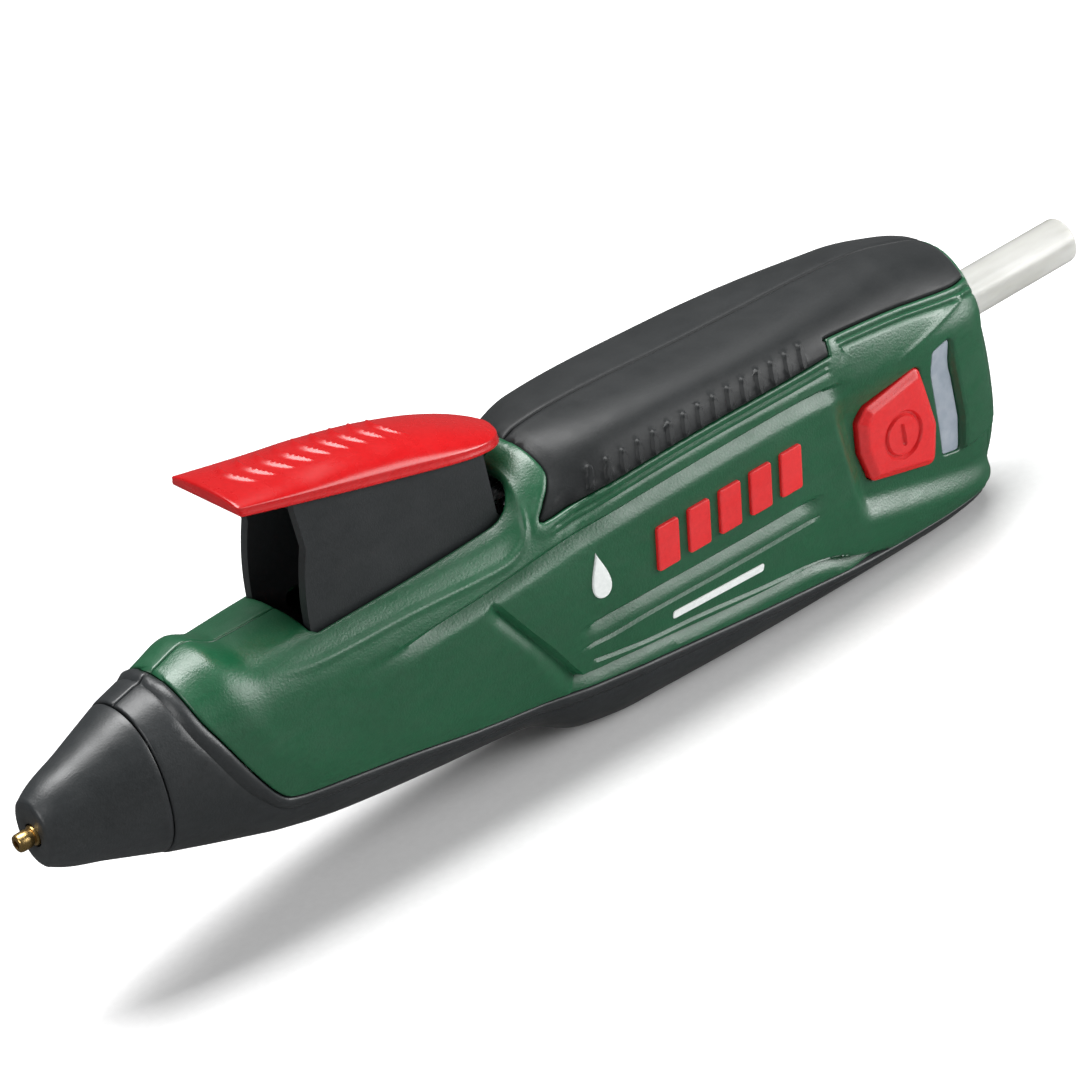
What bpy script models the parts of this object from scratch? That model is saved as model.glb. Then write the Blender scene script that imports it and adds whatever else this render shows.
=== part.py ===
"""Cordless hot glue gun of the pen kind, with a lever on top, a rechargeable cell and a 7 mm glue stick.

Lengths are in millimetres and become metres in world(). Tool coordinates: X from the nozzle's tip towards
the rear, Y to the tool's right, Z up from the glue axis. The world origin is under the middle of the tool,
on the surface that it rests on, so the keel's flat underside is Z = 0.
"""

import math

import bmesh
import bpy
import numpy as np
from mathutils import Matrix

MM = 0.001
TIP_TO_ORIGIN = 95.0
AXIS_HEIGHT = 28.0
GAP = 0.3
SPLIT = 0.15
FAR = 30.0

# Glue path
STICK_RADIUS = 3.5
STICK_FRONT = 40.0
STICK_REAR = 190.0
GUIDE_BORE = 4.0
GUIDE_RADIUS = 5.1
CHAMBER_BORE = 3.8
NOZZLE_BORE = 0.6
NOZZLE_RADIUS = 1.5
NOZZLE_FOOT_RADIUS = 2.6
HEATER_RADIUS = 5.0
HEATER_FRONT = 9.0
HEATER_REAR = 43.0
FUNNEL_MOUTH = 1.6
INLET_RADIUS = 4.9
GUIDE_FRONT = 67.6
GUIDE_REAR = 164.6

# Housing
WALL = 2.2
GRIP_DEPTH = 1.2
POST_INSET = 1.6
SEAM_X = 18.6
CONE_WALL = 1.6
REAR_X = 167.6
RIM_WALL = 2.4

# Trigger and feed
PIVOT = (84.5, 0.0, 9.5)
PIVOT_PIN_RADIUS = 1.2
PRESS_DEGREES = 15.0
FEED_STROKE = 7.0
FEED_PIN_X = 61.0
FEED_PIN_RADIUS = 1.5
JAW_PIVOT = (63.4, 0.0, 6.3)
STEM_HALF = 7.2
STEM_WALL = 1.5
SLOT_HALF = 8.0
SLOT_FRONT = 45.7
SLOT_REAR = 81.5
SLOT_CORNER = 4.0
LEVER_REACH = 38.5
CAP_FRONT = 39.4
CAP_REAR = 84.4
CAP_FRONT_EDGE_Z = 31.6
CAP_SLOPE = -0.2587
CAP_HALF = 8.1
CAP_SKIRT = 1.2
CAP_THICK = 1.8
CAP_ROUND_FROM = 68.0
STEM_TOP_FRONT = 47.6
STEM_TOP_REAR = 78.2
PIN_CLEARANCE = 0.05

# Power
CELL_RADIUS = 9.0
CELL_FRONT = 87.5
CELL_REAR = 137.5
CELL_Z = -14.6
TAB_THICK = 0.25
BOARD_FACE_Y = -8.0
BOARD_THICK = 1.2
BUTTON_PROUD = 0.12
BUTTON_BACK_Y = -11.3
BUTTON_CENTRE = (144.6, -6.6)
CORNER_BUTTON = 1.4
CORNER_WINDOW = 0.6
LENS_BACK_Y = -10.4
SOCKET_HALF = 4.0
SOCKET_LOW = -17.4
SOCKET_HIGH = -14.6
SOCKET_SHEET = 0.5

# Section of the body along X: x, top, bottom, height of the widest point, half width, and the exponents of
# the superellipse above and below that height.
BODY = [
    (18.0, 11.2, -10.9, 0.0, 8.8, 2.2, 2.2),
    (25.0, 12.9, -13.4, 0.0, 9.9, 2.3, 2.2),
    (31.0, 14.3, -15.5, 0.0, 10.6, 2.4, 2.2),
    (36.0, 12.3, -17.2, 0.0, 11.0, 2.8, 2.2),
    (45.0, 12.2, -19.2, 0.0, 11.6, 3.0, 2.3),
    (60.0, 12.2, -21.0, -1.0, 12.4, 3.0, 2.4),
    (76.0, 12.6, -22.6, -1.0, 13.2, 3.0, 2.5),
    (86.0, 18.0, -27.6, 0.0, 13.6, 2.5, 2.5),
    (95.0, 18.8, -28.8, 0.0, 13.9, 3.7, 2.6),
    (120.0, 17.6, -28.9, -2.0, 14.0, 4.6, 3.0),
    (150.0, 16.2, -28.8, -4.0, 13.6, 2.8, 3.2),
    (158.0, 14.4, -28.3, -5.0, 13.0, 2.6, 3.2),
    (164.0, 12.0, -26.4, -5.5, 11.3, 2.4, 3.0),
    (166.2, 9.6, -23.6, -6.6, 8.2, 2.2, 2.6),
    (167.6, 6.2, -19.4, -7.0, 5.8, 2.1, 2.2),
]
CONE = [
    (2.6, 4.6, -4.4, 0.1, 3.5, 2.1, 2.1),
    (3.2, 5.3, -5.0, 0.1, 4.1, 2.1, 2.1),
    (10.8, 8.3, -8.0, 0.0, 6.5, 2.2, 2.2),
    (19.0, 11.4, -11.1, 0.0, 9.0, 2.2, 2.2),
]

# Where the body's mesh has its sections.
BODY_XS = [18.75, 25.0, 28.6, 31.0, 33.4, 36.2, 45.0, 60.0, 74.0, 80.0, 84.0, 88.0, 95.0, 108.0, 122.0,
           136.0, 150.0, 158.0, 164.0, 166.2, 167.0, REAR_X]
CONE_XS = [2.6, 3.2, 7.0, 12.5, SEAM_X - SPLIT]

# Height of the trigger cap's crown over its lower edge: x, height.
CAP_CROWN = [(39.4, 2.2), (50.0, 3.2), (58.0, 4.1), (65.0, 4.3), (74.0, 3.6), (80.0, 2.6), (84.4, 1.6)]

# Side-view lines (x, z). The parting line runs between the green housing and the black lower shell; the grip
# line runs under the soft grip, from the top at its front to the top at its rear.
PARTING = [
    (25.2, 20.0),
    (25.2, 13.0),
    (25.9, 8.4),
    (27.4, 4.8),
    (30.8, -2.2),
    (34.3, -7.7),
    (37.5, -9.6),
    (45.0, -10.8),
    (56.0, -12.6),
    (70.0, -15.4),
    (95.0, -18.6),
    (122.0, -21.9),
    (143.0, -24.4),
    (176.0, -24.8),
]
GRIP = [
    (85.9, 22.0),
    (86.5, 16.0),
    (85.4, 13.9),
    (83.4, 12.0),
    (82.6, 10.3),
    (92.0, 11.2),
    (109.0, 11.7),
    (134.0, 11.2),
    (135.3, 13.4),
    (149.5, 11.4),
    (162.8, 8.6),
    (164.2, 9.6),
    (164.6, 22.0),
]
BUTTON = [(149.6, 2.2), (138.8, 0.5), (137.0, -1.2), (136.6, -5.8), (138.0, -11.2), (150.0, -14.3),
          (151.3, -8.2)]
WINDOW = [(156.2, 3.4), (152.6, 2.8), (152.6, -14.6), (156.1, -15.4), (156.9, -10.0), (156.7, -3.5)]

SCREWS = [(40.0, -13.5), (82.6, -12.4), (150.0, 9.4), (153.6, -20.4)]
SCREW_HEAD_Y = 5.0
SCREW_TIP_Y = -6.2
SCREW_HEAD_RADIUS = 2.2
SCREW_RADIUS = 1.2
BOSS_RADIUS = 2.6
HEAD_BOSS_RADIUS = 3.2


def world(point):
    x, y, z = point
    return ((x - TIP_TO_ORIGIN) * MM, y * MM, (z + AXIS_HEIGHT) * MM)


def clear_scene():
    for obj in list(bpy.data.objects):
        bpy.data.objects.remove(obj)


def material(name, colour, roughness, metallic=0.0, alpha=1.0):
    found = bpy.data.materials.get(name)
    if found:
        return found
    made = bpy.data.materials.new(name)
    made.use_nodes = True
    shader = made.node_tree.nodes["Principled BSDF"]
    shader.inputs["Base Color"].default_value = (*colour, 1.0)
    shader.inputs["Roughness"].default_value = roughness
    shader.inputs["Metallic"].default_value = metallic
    shader.inputs["Alpha"].default_value = alpha
    return made


def green_abs():
    return material("green_abs", (0.02, 0.13, 0.075), 0.5)


def black_abs():
    return material("black_abs", (0.02, 0.021, 0.023), 0.5)


def soft_black():
    return material("soft_black", (0.025, 0.026, 0.028), 0.75)


def red_abs():
    return material("red_abs", (0.6, 0.008, 0.012), 0.35)


def brass():
    return material("brass", (0.65, 0.45, 0.17), 0.3, 1.0)


def aluminium():
    return material("aluminium", (0.7, 0.71, 0.72), 0.4, 1.0)


def steel():
    return material("steel", (0.55, 0.56, 0.58), 0.3, 1.0)


def nickel():
    return material("nickel", (0.7, 0.69, 0.65), 0.3, 1.0)


def ceramic():
    return material("ceramic", (0.85, 0.84, 0.8), 0.6)


def silicone():
    return material("silicone", (0.75, 0.3, 0.2), 0.6)


def cell_wrap():
    return material("cell_wrap", (0.05, 0.16, 0.45), 0.4)


def board_green():
    return material("board_green", (0.01, 0.16, 0.06), 0.4)


def grey_lens():
    return material("grey_lens", (0.35, 0.39, 0.42), 0.15, 0.0, 0.6)


def led_white():
    return material("led_white", (0.9, 0.9, 0.8), 0.3)


def clear_glue():
    return material("clear_glue", (0.9, 0.9, 0.87), 0.25, 0.0, 0.6)


def wire_black():
    return material("wire_black", (0.02, 0.02, 0.02), 0.5)


def wire_red():
    return material("wire_red", (0.6, 0.02, 0.02), 0.5)


def table_at(table, x):
    """The values of a station table at x, on a monotone cubic through its rows."""
    rows = np.array(table, float)
    xs, ys = rows[:, 0], rows[:, 1:]
    step = np.diff(xs)[:, None]
    slope = np.diff(ys, axis=0) / step
    tangent = np.zeros_like(ys)
    before, after = slope[:-1], slope[1:]
    same_way = before * after > 0
    weight_a = 2 * step[1:] + step[:-1]
    weight_b = step[1:] + 2 * step[:-1]
    total = weight_a / np.where(same_way, before, 1) + weight_b / np.where(same_way, after, 1)
    total = np.where(same_way, total, 1)
    tangent[1:-1] = np.where(same_way, (weight_a + weight_b) / total, 0)
    tangent[0], tangent[-1] = slope[0], slope[-1]
    i = int(np.clip(np.searchsorted(xs, x) - 1, 0, len(xs) - 2))
    h = xs[i + 1] - xs[i]
    t = (x - xs[i]) / h
    return (
        (1 + 2 * t) * (1 - t) ** 2 * ys[i]
        + t * (1 - t) ** 2 * h * tangent[i]
        + t * t * (3 - 2 * t) * ys[i + 1]
        + t * t * (t - 1) * h * tangent[i + 1]
    )


def section(table, x, inset, steps):
    """Half a section, from the top centre round one side to the bottom centre, as (y, z) with y positive."""
    top, bottom, mid, half, upper, lower = table_at(table, x)
    top, bottom, half = top - inset, bottom + inset, half - inset
    ring = []
    for k in range(steps + 1):
        angle = math.pi * k / steps
        exponent = 2 / (upper if angle <= math.pi / 2 else lower)
        reach = (top if angle <= math.pi / 2 else bottom) - mid
        ring.append((half * math.sin(angle) ** exponent if 0 < k < steps else 0.0,
                     mid + reach * abs(math.cos(angle)) ** exponent))
    return ring


def stations(first, last, pitch, extra=()):
    count = max(2, round((last - first) / pitch))
    return sorted({round(first + (last - first) * k / count, 4) for k in range(count + 1)} | set(extra))


def lofted(table, xs, inset, side, steps=10):
    """A closed body through the table's sections: the left half (side -1), the right half (1) or both (0)."""
    bm = bmesh.new()
    rings = []
    for x in xs:
        half = section(table, x, inset, steps)
        if side:
            ring = [(x, side * max(y, SPLIT), z) for y, z in half]
        else:
            ring = [(x, -y, z) for y, z in half] + [(x, y, z) for y, z in reversed(half[1:-1])]
        rings.append([bm.verts.new(world(p)) for p in ring])
    for ring_a, ring_b in zip(rings, rings[1:]):
        last = len(ring_a) if side == 0 else len(ring_a) - 1
        for k in range(last):
            j = (k + 1) % len(ring_a)
            bm.faces.new((ring_a[k], ring_a[j], ring_b[j], ring_b[k]))
    bm.faces.new(rings[0])
    bm.faces.new(rings[-1])
    if side:
        bm.faces.new([r[0] for r in rings] + [r[-1] for r in reversed(rings)])
    bmesh.ops.recalc_face_normals(bm, faces=bm.faces)
    bmesh.ops.triangulate(bm, faces=bm.faces)
    return bm


def prism(outline, low_y, high_y):
    """A side-view outline (x, z), extruded from low_y to high_y."""
    bm = bmesh.new()
    near = [bm.verts.new(world((x, low_y, z))) for x, z in outline]
    far = [bm.verts.new(world((x, high_y, z))) for x, z in outline]
    bm.faces.new(near)
    bm.faces.new(list(reversed(far)))
    for k in range(len(outline)):
        j = (k + 1) % len(outline)
        bm.faces.new((near[k], far[k], far[j], near[j]))
    bmesh.ops.recalc_face_normals(bm, faces=bm.faces)
    return bm


def box(low, high):
    (x0, y0, z0), (x1, y1, z1) = low, high
    return prism([(x0, z0), (x1, z0), (x1, z1), (x0, z1)], y0, y1)


def turned(profile, axis, centre, segments=24, hollow=True):
    """A profile of (distance along the axis, radius) turned round an axis ("X", "Y" or "Z") through centre."""
    bm = bmesh.new()
    along = {"X": (1, 0, 0), "Y": (0, 1, 0), "Z": (0, 0, 1)}[axis]
    across = {"X": (0, 1, 0), "Y": (0, 0, 1), "Z": (1, 0, 0)}[axis]
    third = {"X": (0, 0, 1), "Y": (1, 0, 0), "Z": (0, 1, 0)}[axis]
    rings = []
    for distance, radius in profile:
        ring = []
        for k in range(segments if radius > 0 else 1):
            angle = 2 * math.pi * k / segments
            c, s = radius * math.cos(angle), radius * math.sin(angle)
            point = [centre[n] + along[n] * distance + across[n] * c + third[n] * s for n in range(3)]
            ring.append(bm.verts.new(world(point)))
        rings.append(ring)
    pairs = list(zip(rings, rings[1:]))
    if hollow:
        pairs.append((rings[-1], rings[0]))
    for ring_a, ring_b in pairs:
        for k in range(segments):
            j = (k + 1) % segments
            corners = [ring_a[k % len(ring_a)], ring_a[j % len(ring_a)],
                       ring_b[j % len(ring_b)], ring_b[k % len(ring_b)]]
            bm.faces.new(list(dict.fromkeys(corners)))
    bmesh.ops.recalc_face_normals(bm, faces=bm.faces)
    return bm


def rod(start, end, radius, axis, centre, segments=20):
    return turned([(start, 0), (start, radius), (end, radius), (end, 0)], axis, centre, segments, hollow=False)


def tube(start, end, outer, inner, axis="X", centre=(0, 0, 0), segments=24):
    return turned([(start, outer), (end, outer), (end, inner), (start, inner)], axis, centre, segments)


def joined(parts):
    """Several closed bodies that don't touch, as one mesh."""
    bm = bmesh.new()
    for part in parts:
        mesh = bpy.data.meshes.new("part")
        part.to_mesh(mesh)
        part.free()
        bm.from_mesh(mesh)
        bpy.data.meshes.remove(mesh)
    return bm


def add(name, bm, look, pivot=(TIP_TO_ORIGIN, 0.0, -AXIS_HEIGHT)):
    """An object of this mesh, with its origin at pivot."""
    origin = world(pivot)
    bm.transform(Matrix.Translation(origin).inverted())
    mesh = bpy.data.meshes.new(name)
    bm.to_mesh(mesh)
    bm.free()
    mesh.shade_smooth()
    mesh.set_sharp_from_angle(angle=math.radians(35))
    obj = bpy.data.objects.new(name, mesh)
    obj.location = origin
    mesh.materials.append(look)
    bpy.context.scene.collection.objects.link(obj)
    return obj


def cutter(name, bm):
    obj = add(name, bm, black_abs())
    obj.hide_render = True
    obj.display_type = "WIRE"
    return obj


def boolean(obj, other, operation):
    modifier = obj.modifiers.new(operation.lower() + "_" + other.name, "BOOLEAN")
    modifier.operation = operation
    modifier.object = other
    modifier.solver = "EXACT"


def smooth_line(points, steps=3):
    """A Catmull-Rom line through the points, with this many steps between neighbours."""
    p = np.array([points[0], *points, points[-1]], float)
    line = []
    for i in range(1, len(p) - 2):
        for k in range(steps):
            t = k / steps
            line.append(tuple(0.5 * (2 * p[i] + (p[i + 1] - p[i - 1]) * t
                                     + (2 * p[i - 1] - 5 * p[i] + 4 * p[i + 1] - p[i + 2]) * t * t
                                     + (3 * p[i] - 3 * p[i + 1] + p[i + 2] - p[i - 1]) * t ** 3)))
    return [*line, tuple(points[-1])]


def offset_line(line, distance):
    """The line moved to its left by distance."""
    p = np.array(line, float)
    d = np.gradient(p, axis=0)
    d /= np.linalg.norm(d, axis=1)[:, None]
    return [tuple(q) for q in p + distance * np.stack([-d[:, 1], d[:, 0]], 1)]


def rounded(outline, radius, steps=3, grow=0.0):
    """The closed outline, grown outwards by grow, with its corners rounded."""
    p = np.array(outline, float)
    turn = sum(a[0] * b[1] - b[0] * a[1] for a, b in zip(p, np.roll(p, -1, 0)))
    sign = 1 if turn > 0 else -1
    line = []
    for i, here in enumerate(p):
        a = p[i - 1] - here
        b = p[(i + 1) % len(p)] - here
        a /= np.linalg.norm(a)
        b /= np.linalg.norm(b)
        out_a = sign * np.array([-a[1], a[0]])
        out_b = -sign * np.array([-b[1], b[0]])
        bisector = out_a + out_b
        corner = here + bisector * grow / (bisector @ out_a)
        half = math.acos(max(-1.0, min(1.0, float(a @ b)))) / 2
        cut = min((radius + grow) / math.tan(half), 0.45 * np.linalg.norm(p[i - 1] - here),
                  0.45 * np.linalg.norm(p[(i + 1) % len(p)] - here))
        for k in range(steps + 1):
            t = k / steps
            line.append(tuple((1 - t) ** 2 * (corner + a * cut) + 2 * t * (1 - t) * corner
                              + t * t * (corner + b * cut)))
    return line


def turn_about_pivot(x, z, degrees):
    """A side-view point after the lever has turned this far about its pivot."""
    angle = math.radians(degrees)
    dx, dz = x - PIVOT[0], z - PIVOT[2]
    return (PIVOT[0] + dx * math.cos(angle) - dz * math.sin(angle),
            PIVOT[2] + dx * math.sin(angle) + dz * math.cos(angle))


# ---------------------------------------------------------------- shells

def body_solid(inset, side, xs=None):
    return lofted(BODY, xs or BODY_XS, inset, side)


def inner_xs(wall):
    return [16.0] + [x for x in BODY_XS if x < 166.0] + [REAR_X - wall]


def housing_region():
    """Everything above the parting line."""
    line = offset_line(smooth_line(PARTING, 2), GAP / 2)
    return [*line, (180.0, 30.0), (30.0, 30.0)]


def lower_region():
    """Everything below the parting line, with the keel's flat underside."""
    line = offset_line(smooth_line(PARTING, 2), -GAP / 2)
    return [*reversed(line), (10.0, 25.0), (10.0, -AXIS_HEIGHT), (176.0, -AXIS_HEIGHT)]


def grip_region(grow):
    line = offset_line(smooth_line(GRIP, 2), grow)
    return [*line, (150.0, 30.0), (95.0, 30.0)]


def trigger_slot():
    """The opening in the deck for the lever, with round rear corners."""
    outline = [(SLOT_FRONT, -SLOT_HALF), (SLOT_FRONT, SLOT_HALF)]
    for centre_y, first in ((SLOT_HALF - SLOT_CORNER, 0), (SLOT_CORNER - SLOT_HALF, 90)):
        for k in range(4):
            angle = math.radians(first + 30 * k)
            outline.append((SLOT_REAR - SLOT_CORNER + SLOT_CORNER * math.sin(angle),
                            centre_y + SLOT_CORNER * math.cos(angle)))
    bm = bmesh.new()
    low = [bm.verts.new(world((x, y, 4.0))) for x, y in outline]
    high = [bm.verts.new(world((x, y, FAR))) for x, y in outline]
    bm.faces.new(low)
    bm.faces.new(list(reversed(high)))
    for k in range(len(outline)):
        j = (k + 1) % len(outline)
        bm.faces.new((low[k], high[k], high[j], low[j]))
    bmesh.ops.recalc_face_normals(bm, faces=bm.faces)
    return bm


def screw_holes(side):
    """Clearance and head pockets on the right, pilot holes on the left."""
    parts = []
    for x, z in SCREWS:
        if side > 0:
            profile = [(-1.0, 0), (-1.0, SCREW_RADIUS + 0.3), (SCREW_HEAD_Y - GAP, SCREW_RADIUS + 0.3),
                       (SCREW_HEAD_Y - GAP, SCREW_HEAD_RADIUS + 0.3), (FAR, SCREW_HEAD_RADIUS + 0.3), (FAR, 0)]
        else:
            profile = [(1.0, 0), (1.0, SCREW_RADIUS + 0.05), (SCREW_TIP_Y - 1.0, SCREW_RADIUS + 0.05),
                       (SCREW_TIP_Y - 1.0, 0)]
        parts.append(turned(profile, "Y", (x, 0, z), 12, hollow=False))
    return parts


def bosses(side, at):
    """Solid posts between the split and the wall, one for each screw; the right ones widen round the head."""
    parts = []
    for x, z in at:
        wall = table_at(BODY, x)[3]
        profile = [(side * SPLIT, 0), (side * SPLIT, BOSS_RADIUS)]
        if side > 0:
            profile += [(SCREW_HEAD_Y - 1.4, BOSS_RADIUS), (SCREW_HEAD_Y - 1.4, HEAD_BOSS_RADIUS),
                        (wall, HEAD_BOSS_RADIUS)]
        else:
            profile += [(-wall, BOSS_RADIUS)]
        profile += [(side * wall, 0)]
        parts.append(turned(profile, "Y", (x, 0, z), 12, hollow=False))
    return parts


def in_lower_shell(x, z):
    return x < 60 and z < -10


def make_shells():
    inner = cutter("cut_inner", body_solid(WALL, 0, inner_xs(RIM_WALL)))
    grip_back = cutter("cut_grip_back", body_solid(GRIP_DEPTH - GAP, 0, BODY_XS))
    grip_room = cutter("cut_grip_room", prism(grip_region(-GAP), -FAR, FAR))
    under_grip = cutter("cut_under_grip", body_solid(GRIP_DEPTH, 0, BODY_XS))
    housing_zone = cutter("zone_housing", prism(housing_region(), -FAR, FAR))
    lower_zone = cutter("zone_lower", prism(lower_region(), -FAR, FAR))
    grip_zone = cutter("zone_grip", prism(grip_region(0.0), -FAR, FAR))
    slot = cutter("cut_trigger_slot", trigger_slot())
    rear = cutter("cut_rear", joined([
        rod(160.0, 180.0, INLET_RADIUS + GAP, "X", (0, 0, 0), 24),
        box((160.6, -SOCKET_HALF - GAP, SOCKET_LOW - GAP), (180.0, SOCKET_HALF + GAP, SOCKET_HIGH + GAP)),
    ]))
    groove = cutter("cut_grip_groove", body_solid(-3.0, 0, [60.0, *[x for x in BODY_XS if 62 < x < 170]]))
    boolean(groove, grip_room, "INTERSECT")
    boolean(groove, under_grip, "DIFFERENCE")
    left_controls = cutter("cut_controls", joined([
        prism(rounded(BUTTON, CORNER_BUTTON, 3, GAP), -FAR, -5.0),
        prism(rounded(WINDOW, CORNER_WINDOW, 2, GAP / 2), -FAR, -5.0),
    ]))
    for side, word in ((-1, "left"), (1, "right")):
        at_housing = [s for s in SCREWS if not in_lower_shell(*s)]
        at_lower = [s for s in SCREWS if in_lower_shell(*s)]
        skin = cutter("skin_posts_" + word, body_solid(POST_INSET, 0))
        holes = cutter("cut_screws_" + word, joined([*screw_holes(side), pivot_hole(side)]))
        posts = cutter("add_posts_" + word, joined([*bosses(side, at_housing), pivot_boss(side)]))
        lower_posts = cutter("add_lower_posts_" + word, joined(bosses(side, at_lower)))
        boolean(posts, skin, "INTERSECT")
        boolean(lower_posts, skin, "INTERSECT")

        housing = add("housing_" + word, body_solid(0.0, side), green_abs())
        boolean(housing, inner, "DIFFERENCE")
        boolean(housing, housing_zone, "INTERSECT")
        boolean(housing, groove, "DIFFERENCE")
        boolean(housing, posts, "UNION")
        boolean(housing, slot, "DIFFERENCE")
        boolean(housing, rear, "DIFFERENCE")
        if side < 0:
            boolean(housing, left_controls, "DIFFERENCE")
        boolean(housing, holes, "DIFFERENCE")

        lower = add("lower_shell_" + word, body_solid(0.0, side), black_abs())
        boolean(lower, inner, "DIFFERENCE")
        boolean(lower, lower_zone, "INTERSECT")
        boolean(lower, lower_posts, "UNION")
        boolean(lower, holes, "DIFFERENCE")

        grip = add("grip_" + word, body_solid(0.0, side), soft_black())
        boolean(grip, grip_zone, "INTERSECT")
        boolean(grip, grip_back, "DIFFERENCE")


def pivot_boss(side):
    return rod(side * (STEM_HALF + 0.4), side * 11.0, PIVOT_PIN_RADIUS + 1.3, "Y", PIVOT, 12)


def pivot_hole(side):
    return rod(side * (STEM_HALF - 1.0), side * 9.6, PIVOT_PIN_RADIUS + PIN_CLEARANCE, "Y", PIVOT, 16)


def make_nose():
    cone = add("nose_cone", lofted(CONE, CONE_XS, 0.0, 0, 16), black_abs())
    hollow = cutter("cut_cone", lofted(CONE, [5.2, 12.5, 19.0], CONE_WALL, 0, 12))
    hole = cutter("cut_cone_tip", rod(0.0, 9.0, NOZZLE_RADIUS + 0.25, "X", (0, 0, 0), 20))
    boolean(cone, hollow, "DIFFERENCE")
    boolean(cone, hole, "DIFFERENCE")


def make_nozzle():
    profile = [(0.0, NOZZLE_BORE), (0.0, 1.15), (0.3, NOZZLE_RADIUS - 0.1), (1.9, NOZZLE_RADIUS - 0.1),
               (2.1, NOZZLE_RADIUS), (5.4, NOZZLE_RADIUS), (7.0, NOZZLE_FOOT_RADIUS),
               (HEATER_FRONT - GAP, NOZZLE_FOOT_RADIUS), (HEATER_FRONT - GAP, FUNNEL_MOUTH), (6.0, NOZZLE_BORE)]
    add("nozzle", turned(profile, "X", (0, 0, 0), 24), brass())


def make_heater():
    profile = [(HEATER_FRONT, FUNNEL_MOUTH), (HEATER_FRONT, 3.2), (13.0, HEATER_RADIUS),
               (HEATER_REAR, HEATER_RADIUS), (HEATER_REAR, CHAMBER_BORE), (18.0, CHAMBER_BORE),
               (12.0, FUNNEL_MOUTH)]
    add("heater_block", turned(profile, "X", (0, 0, 0), 24), aluminium())
    add("heating_element", box((25.0, -2.2, -6.4), (40.0, 2.2, -HEATER_RADIUS - GAP)), ceramic())
    add("thermal_sensor", box((28.0, -1.2, HEATER_RADIUS + GAP), (32.0, 1.2, 6.5)), led_white())
    add("heat_shield", tube(24.0, 41.4, 7.4, 7.0), ceramic())
    add("inlet_sleeve", tube(HEATER_REAR + GAP, 48.4, 5.0, STICK_RADIUS + 0.25), silicone())


def make_guide():
    guide = [(GUIDE_FRONT, GUIDE_BORE + 0.7), (GUIDE_FRONT + 0.8, GUIDE_RADIUS), (GUIDE_REAR, GUIDE_RADIUS),
             (GUIDE_REAR, GUIDE_BORE), (GUIDE_FRONT, GUIDE_BORE)]
    add("stick_guide", turned(guide, "X", (0, 0, 0), 20), black_abs())
    ring = [(165.0, GUIDE_BORE), (165.0, INLET_RADIUS), (167.7, INLET_RADIUS), (168.0, INLET_RADIUS - 0.3),
            (168.0, GUIDE_BORE + 0.3), (167.7, GUIDE_BORE)]
    add("glue_inlet_ring", turned(ring, "X", (0, 0, 0), 24), black_abs())


def make_stick():
    profile = [(STICK_FRONT, 0), (STICK_FRONT, STICK_RADIUS - 0.4), (STICK_FRONT + 0.4, STICK_RADIUS),
               (STICK_REAR - 0.2, STICK_RADIUS), (STICK_REAR, STICK_RADIUS - 0.2), (STICK_REAR, 0)]
    add("glue_stick", turned(profile, "X", (0, 0, 0), 20, hollow=False), clear_glue(), (115.0, 0, 0))


# ---------------------------------------------------------------- trigger

def cap_half_width(x):
    """The cap narrows a little towards its front and is round at its rear."""
    rear = max(0.0, (x - CAP_ROUND_FROM) / (CAP_REAR - CAP_ROUND_FROM))
    return (CAP_HALF - 0.6 * max(0.0, 1 - (x - CAP_FRONT) / 25) ** 2) * max(0.0, 1 - rear ** 3.2) ** (1 / 2.2)


def cap_edge_z(x):
    return CAP_FRONT_EDGE_Z + CAP_SLOPE * (x - CAP_FRONT)


def make_trigger_cap():
    """A crowned plate: a grid for its top, a smaller grid for its hollow underside."""
    bm = bmesh.new()
    across = 8
    xs = [*stations(CAP_FRONT, 76.0, 4.6), 79.0, 81.4, 83.0, 84.0]
    tops, skirts, unders = [], [], []
    for x in xs:
        half = cap_half_width(x)
        crown = float(table_at(CAP_CROWN, x)[0])
        top, under = [], []
        for k in range(across + 1):
            s = -1 + 2 * k / across
            arch = max(0.0, 1 - abs(s) ** 2.4) ** (1 / 2.0)
            top_z = cap_edge_z(x) + CAP_SKIRT + (crown - CAP_SKIRT) * arch
            under_z = cap_edge_z(x) + max(0.0, crown - CAP_THICK) * arch
            top.append(bm.verts.new(world((x, half * s, top_z))))
            under.append(bm.verts.new(world((x, half * s, under_z))))
        tops.append(top)
        unders.append(under)
    for i in range(len(xs) - 1):
        for k in range(across):
            bm.faces.new((tops[i][k], tops[i + 1][k], tops[i + 1][k + 1], tops[i][k + 1]))
            bm.faces.new((unders[i][k], unders[i][k + 1], unders[i + 1][k + 1], unders[i + 1][k]))
        for k in (0, across):
            bm.faces.new((tops[i][k], tops[i + 1][k], unders[i + 1][k], unders[i][k]))
    for i in (0, len(xs) - 1):
        for k in range(across):
            bm.faces.new((tops[i][k], tops[i][k + 1], unders[i][k + 1], unders[i][k]))
    bmesh.ops.recalc_face_normals(bm, faces=bm.faces)
    add("trigger_cap", bm, red_abs(), PIVOT)


def lever_arc(z):
    """The x of the lever's front edge, which clears the front of its slot as it turns."""
    return PIVOT[0] - math.sqrt(LEVER_REACH ** 2 - (z - PIVOT[2]) ** 2)


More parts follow.
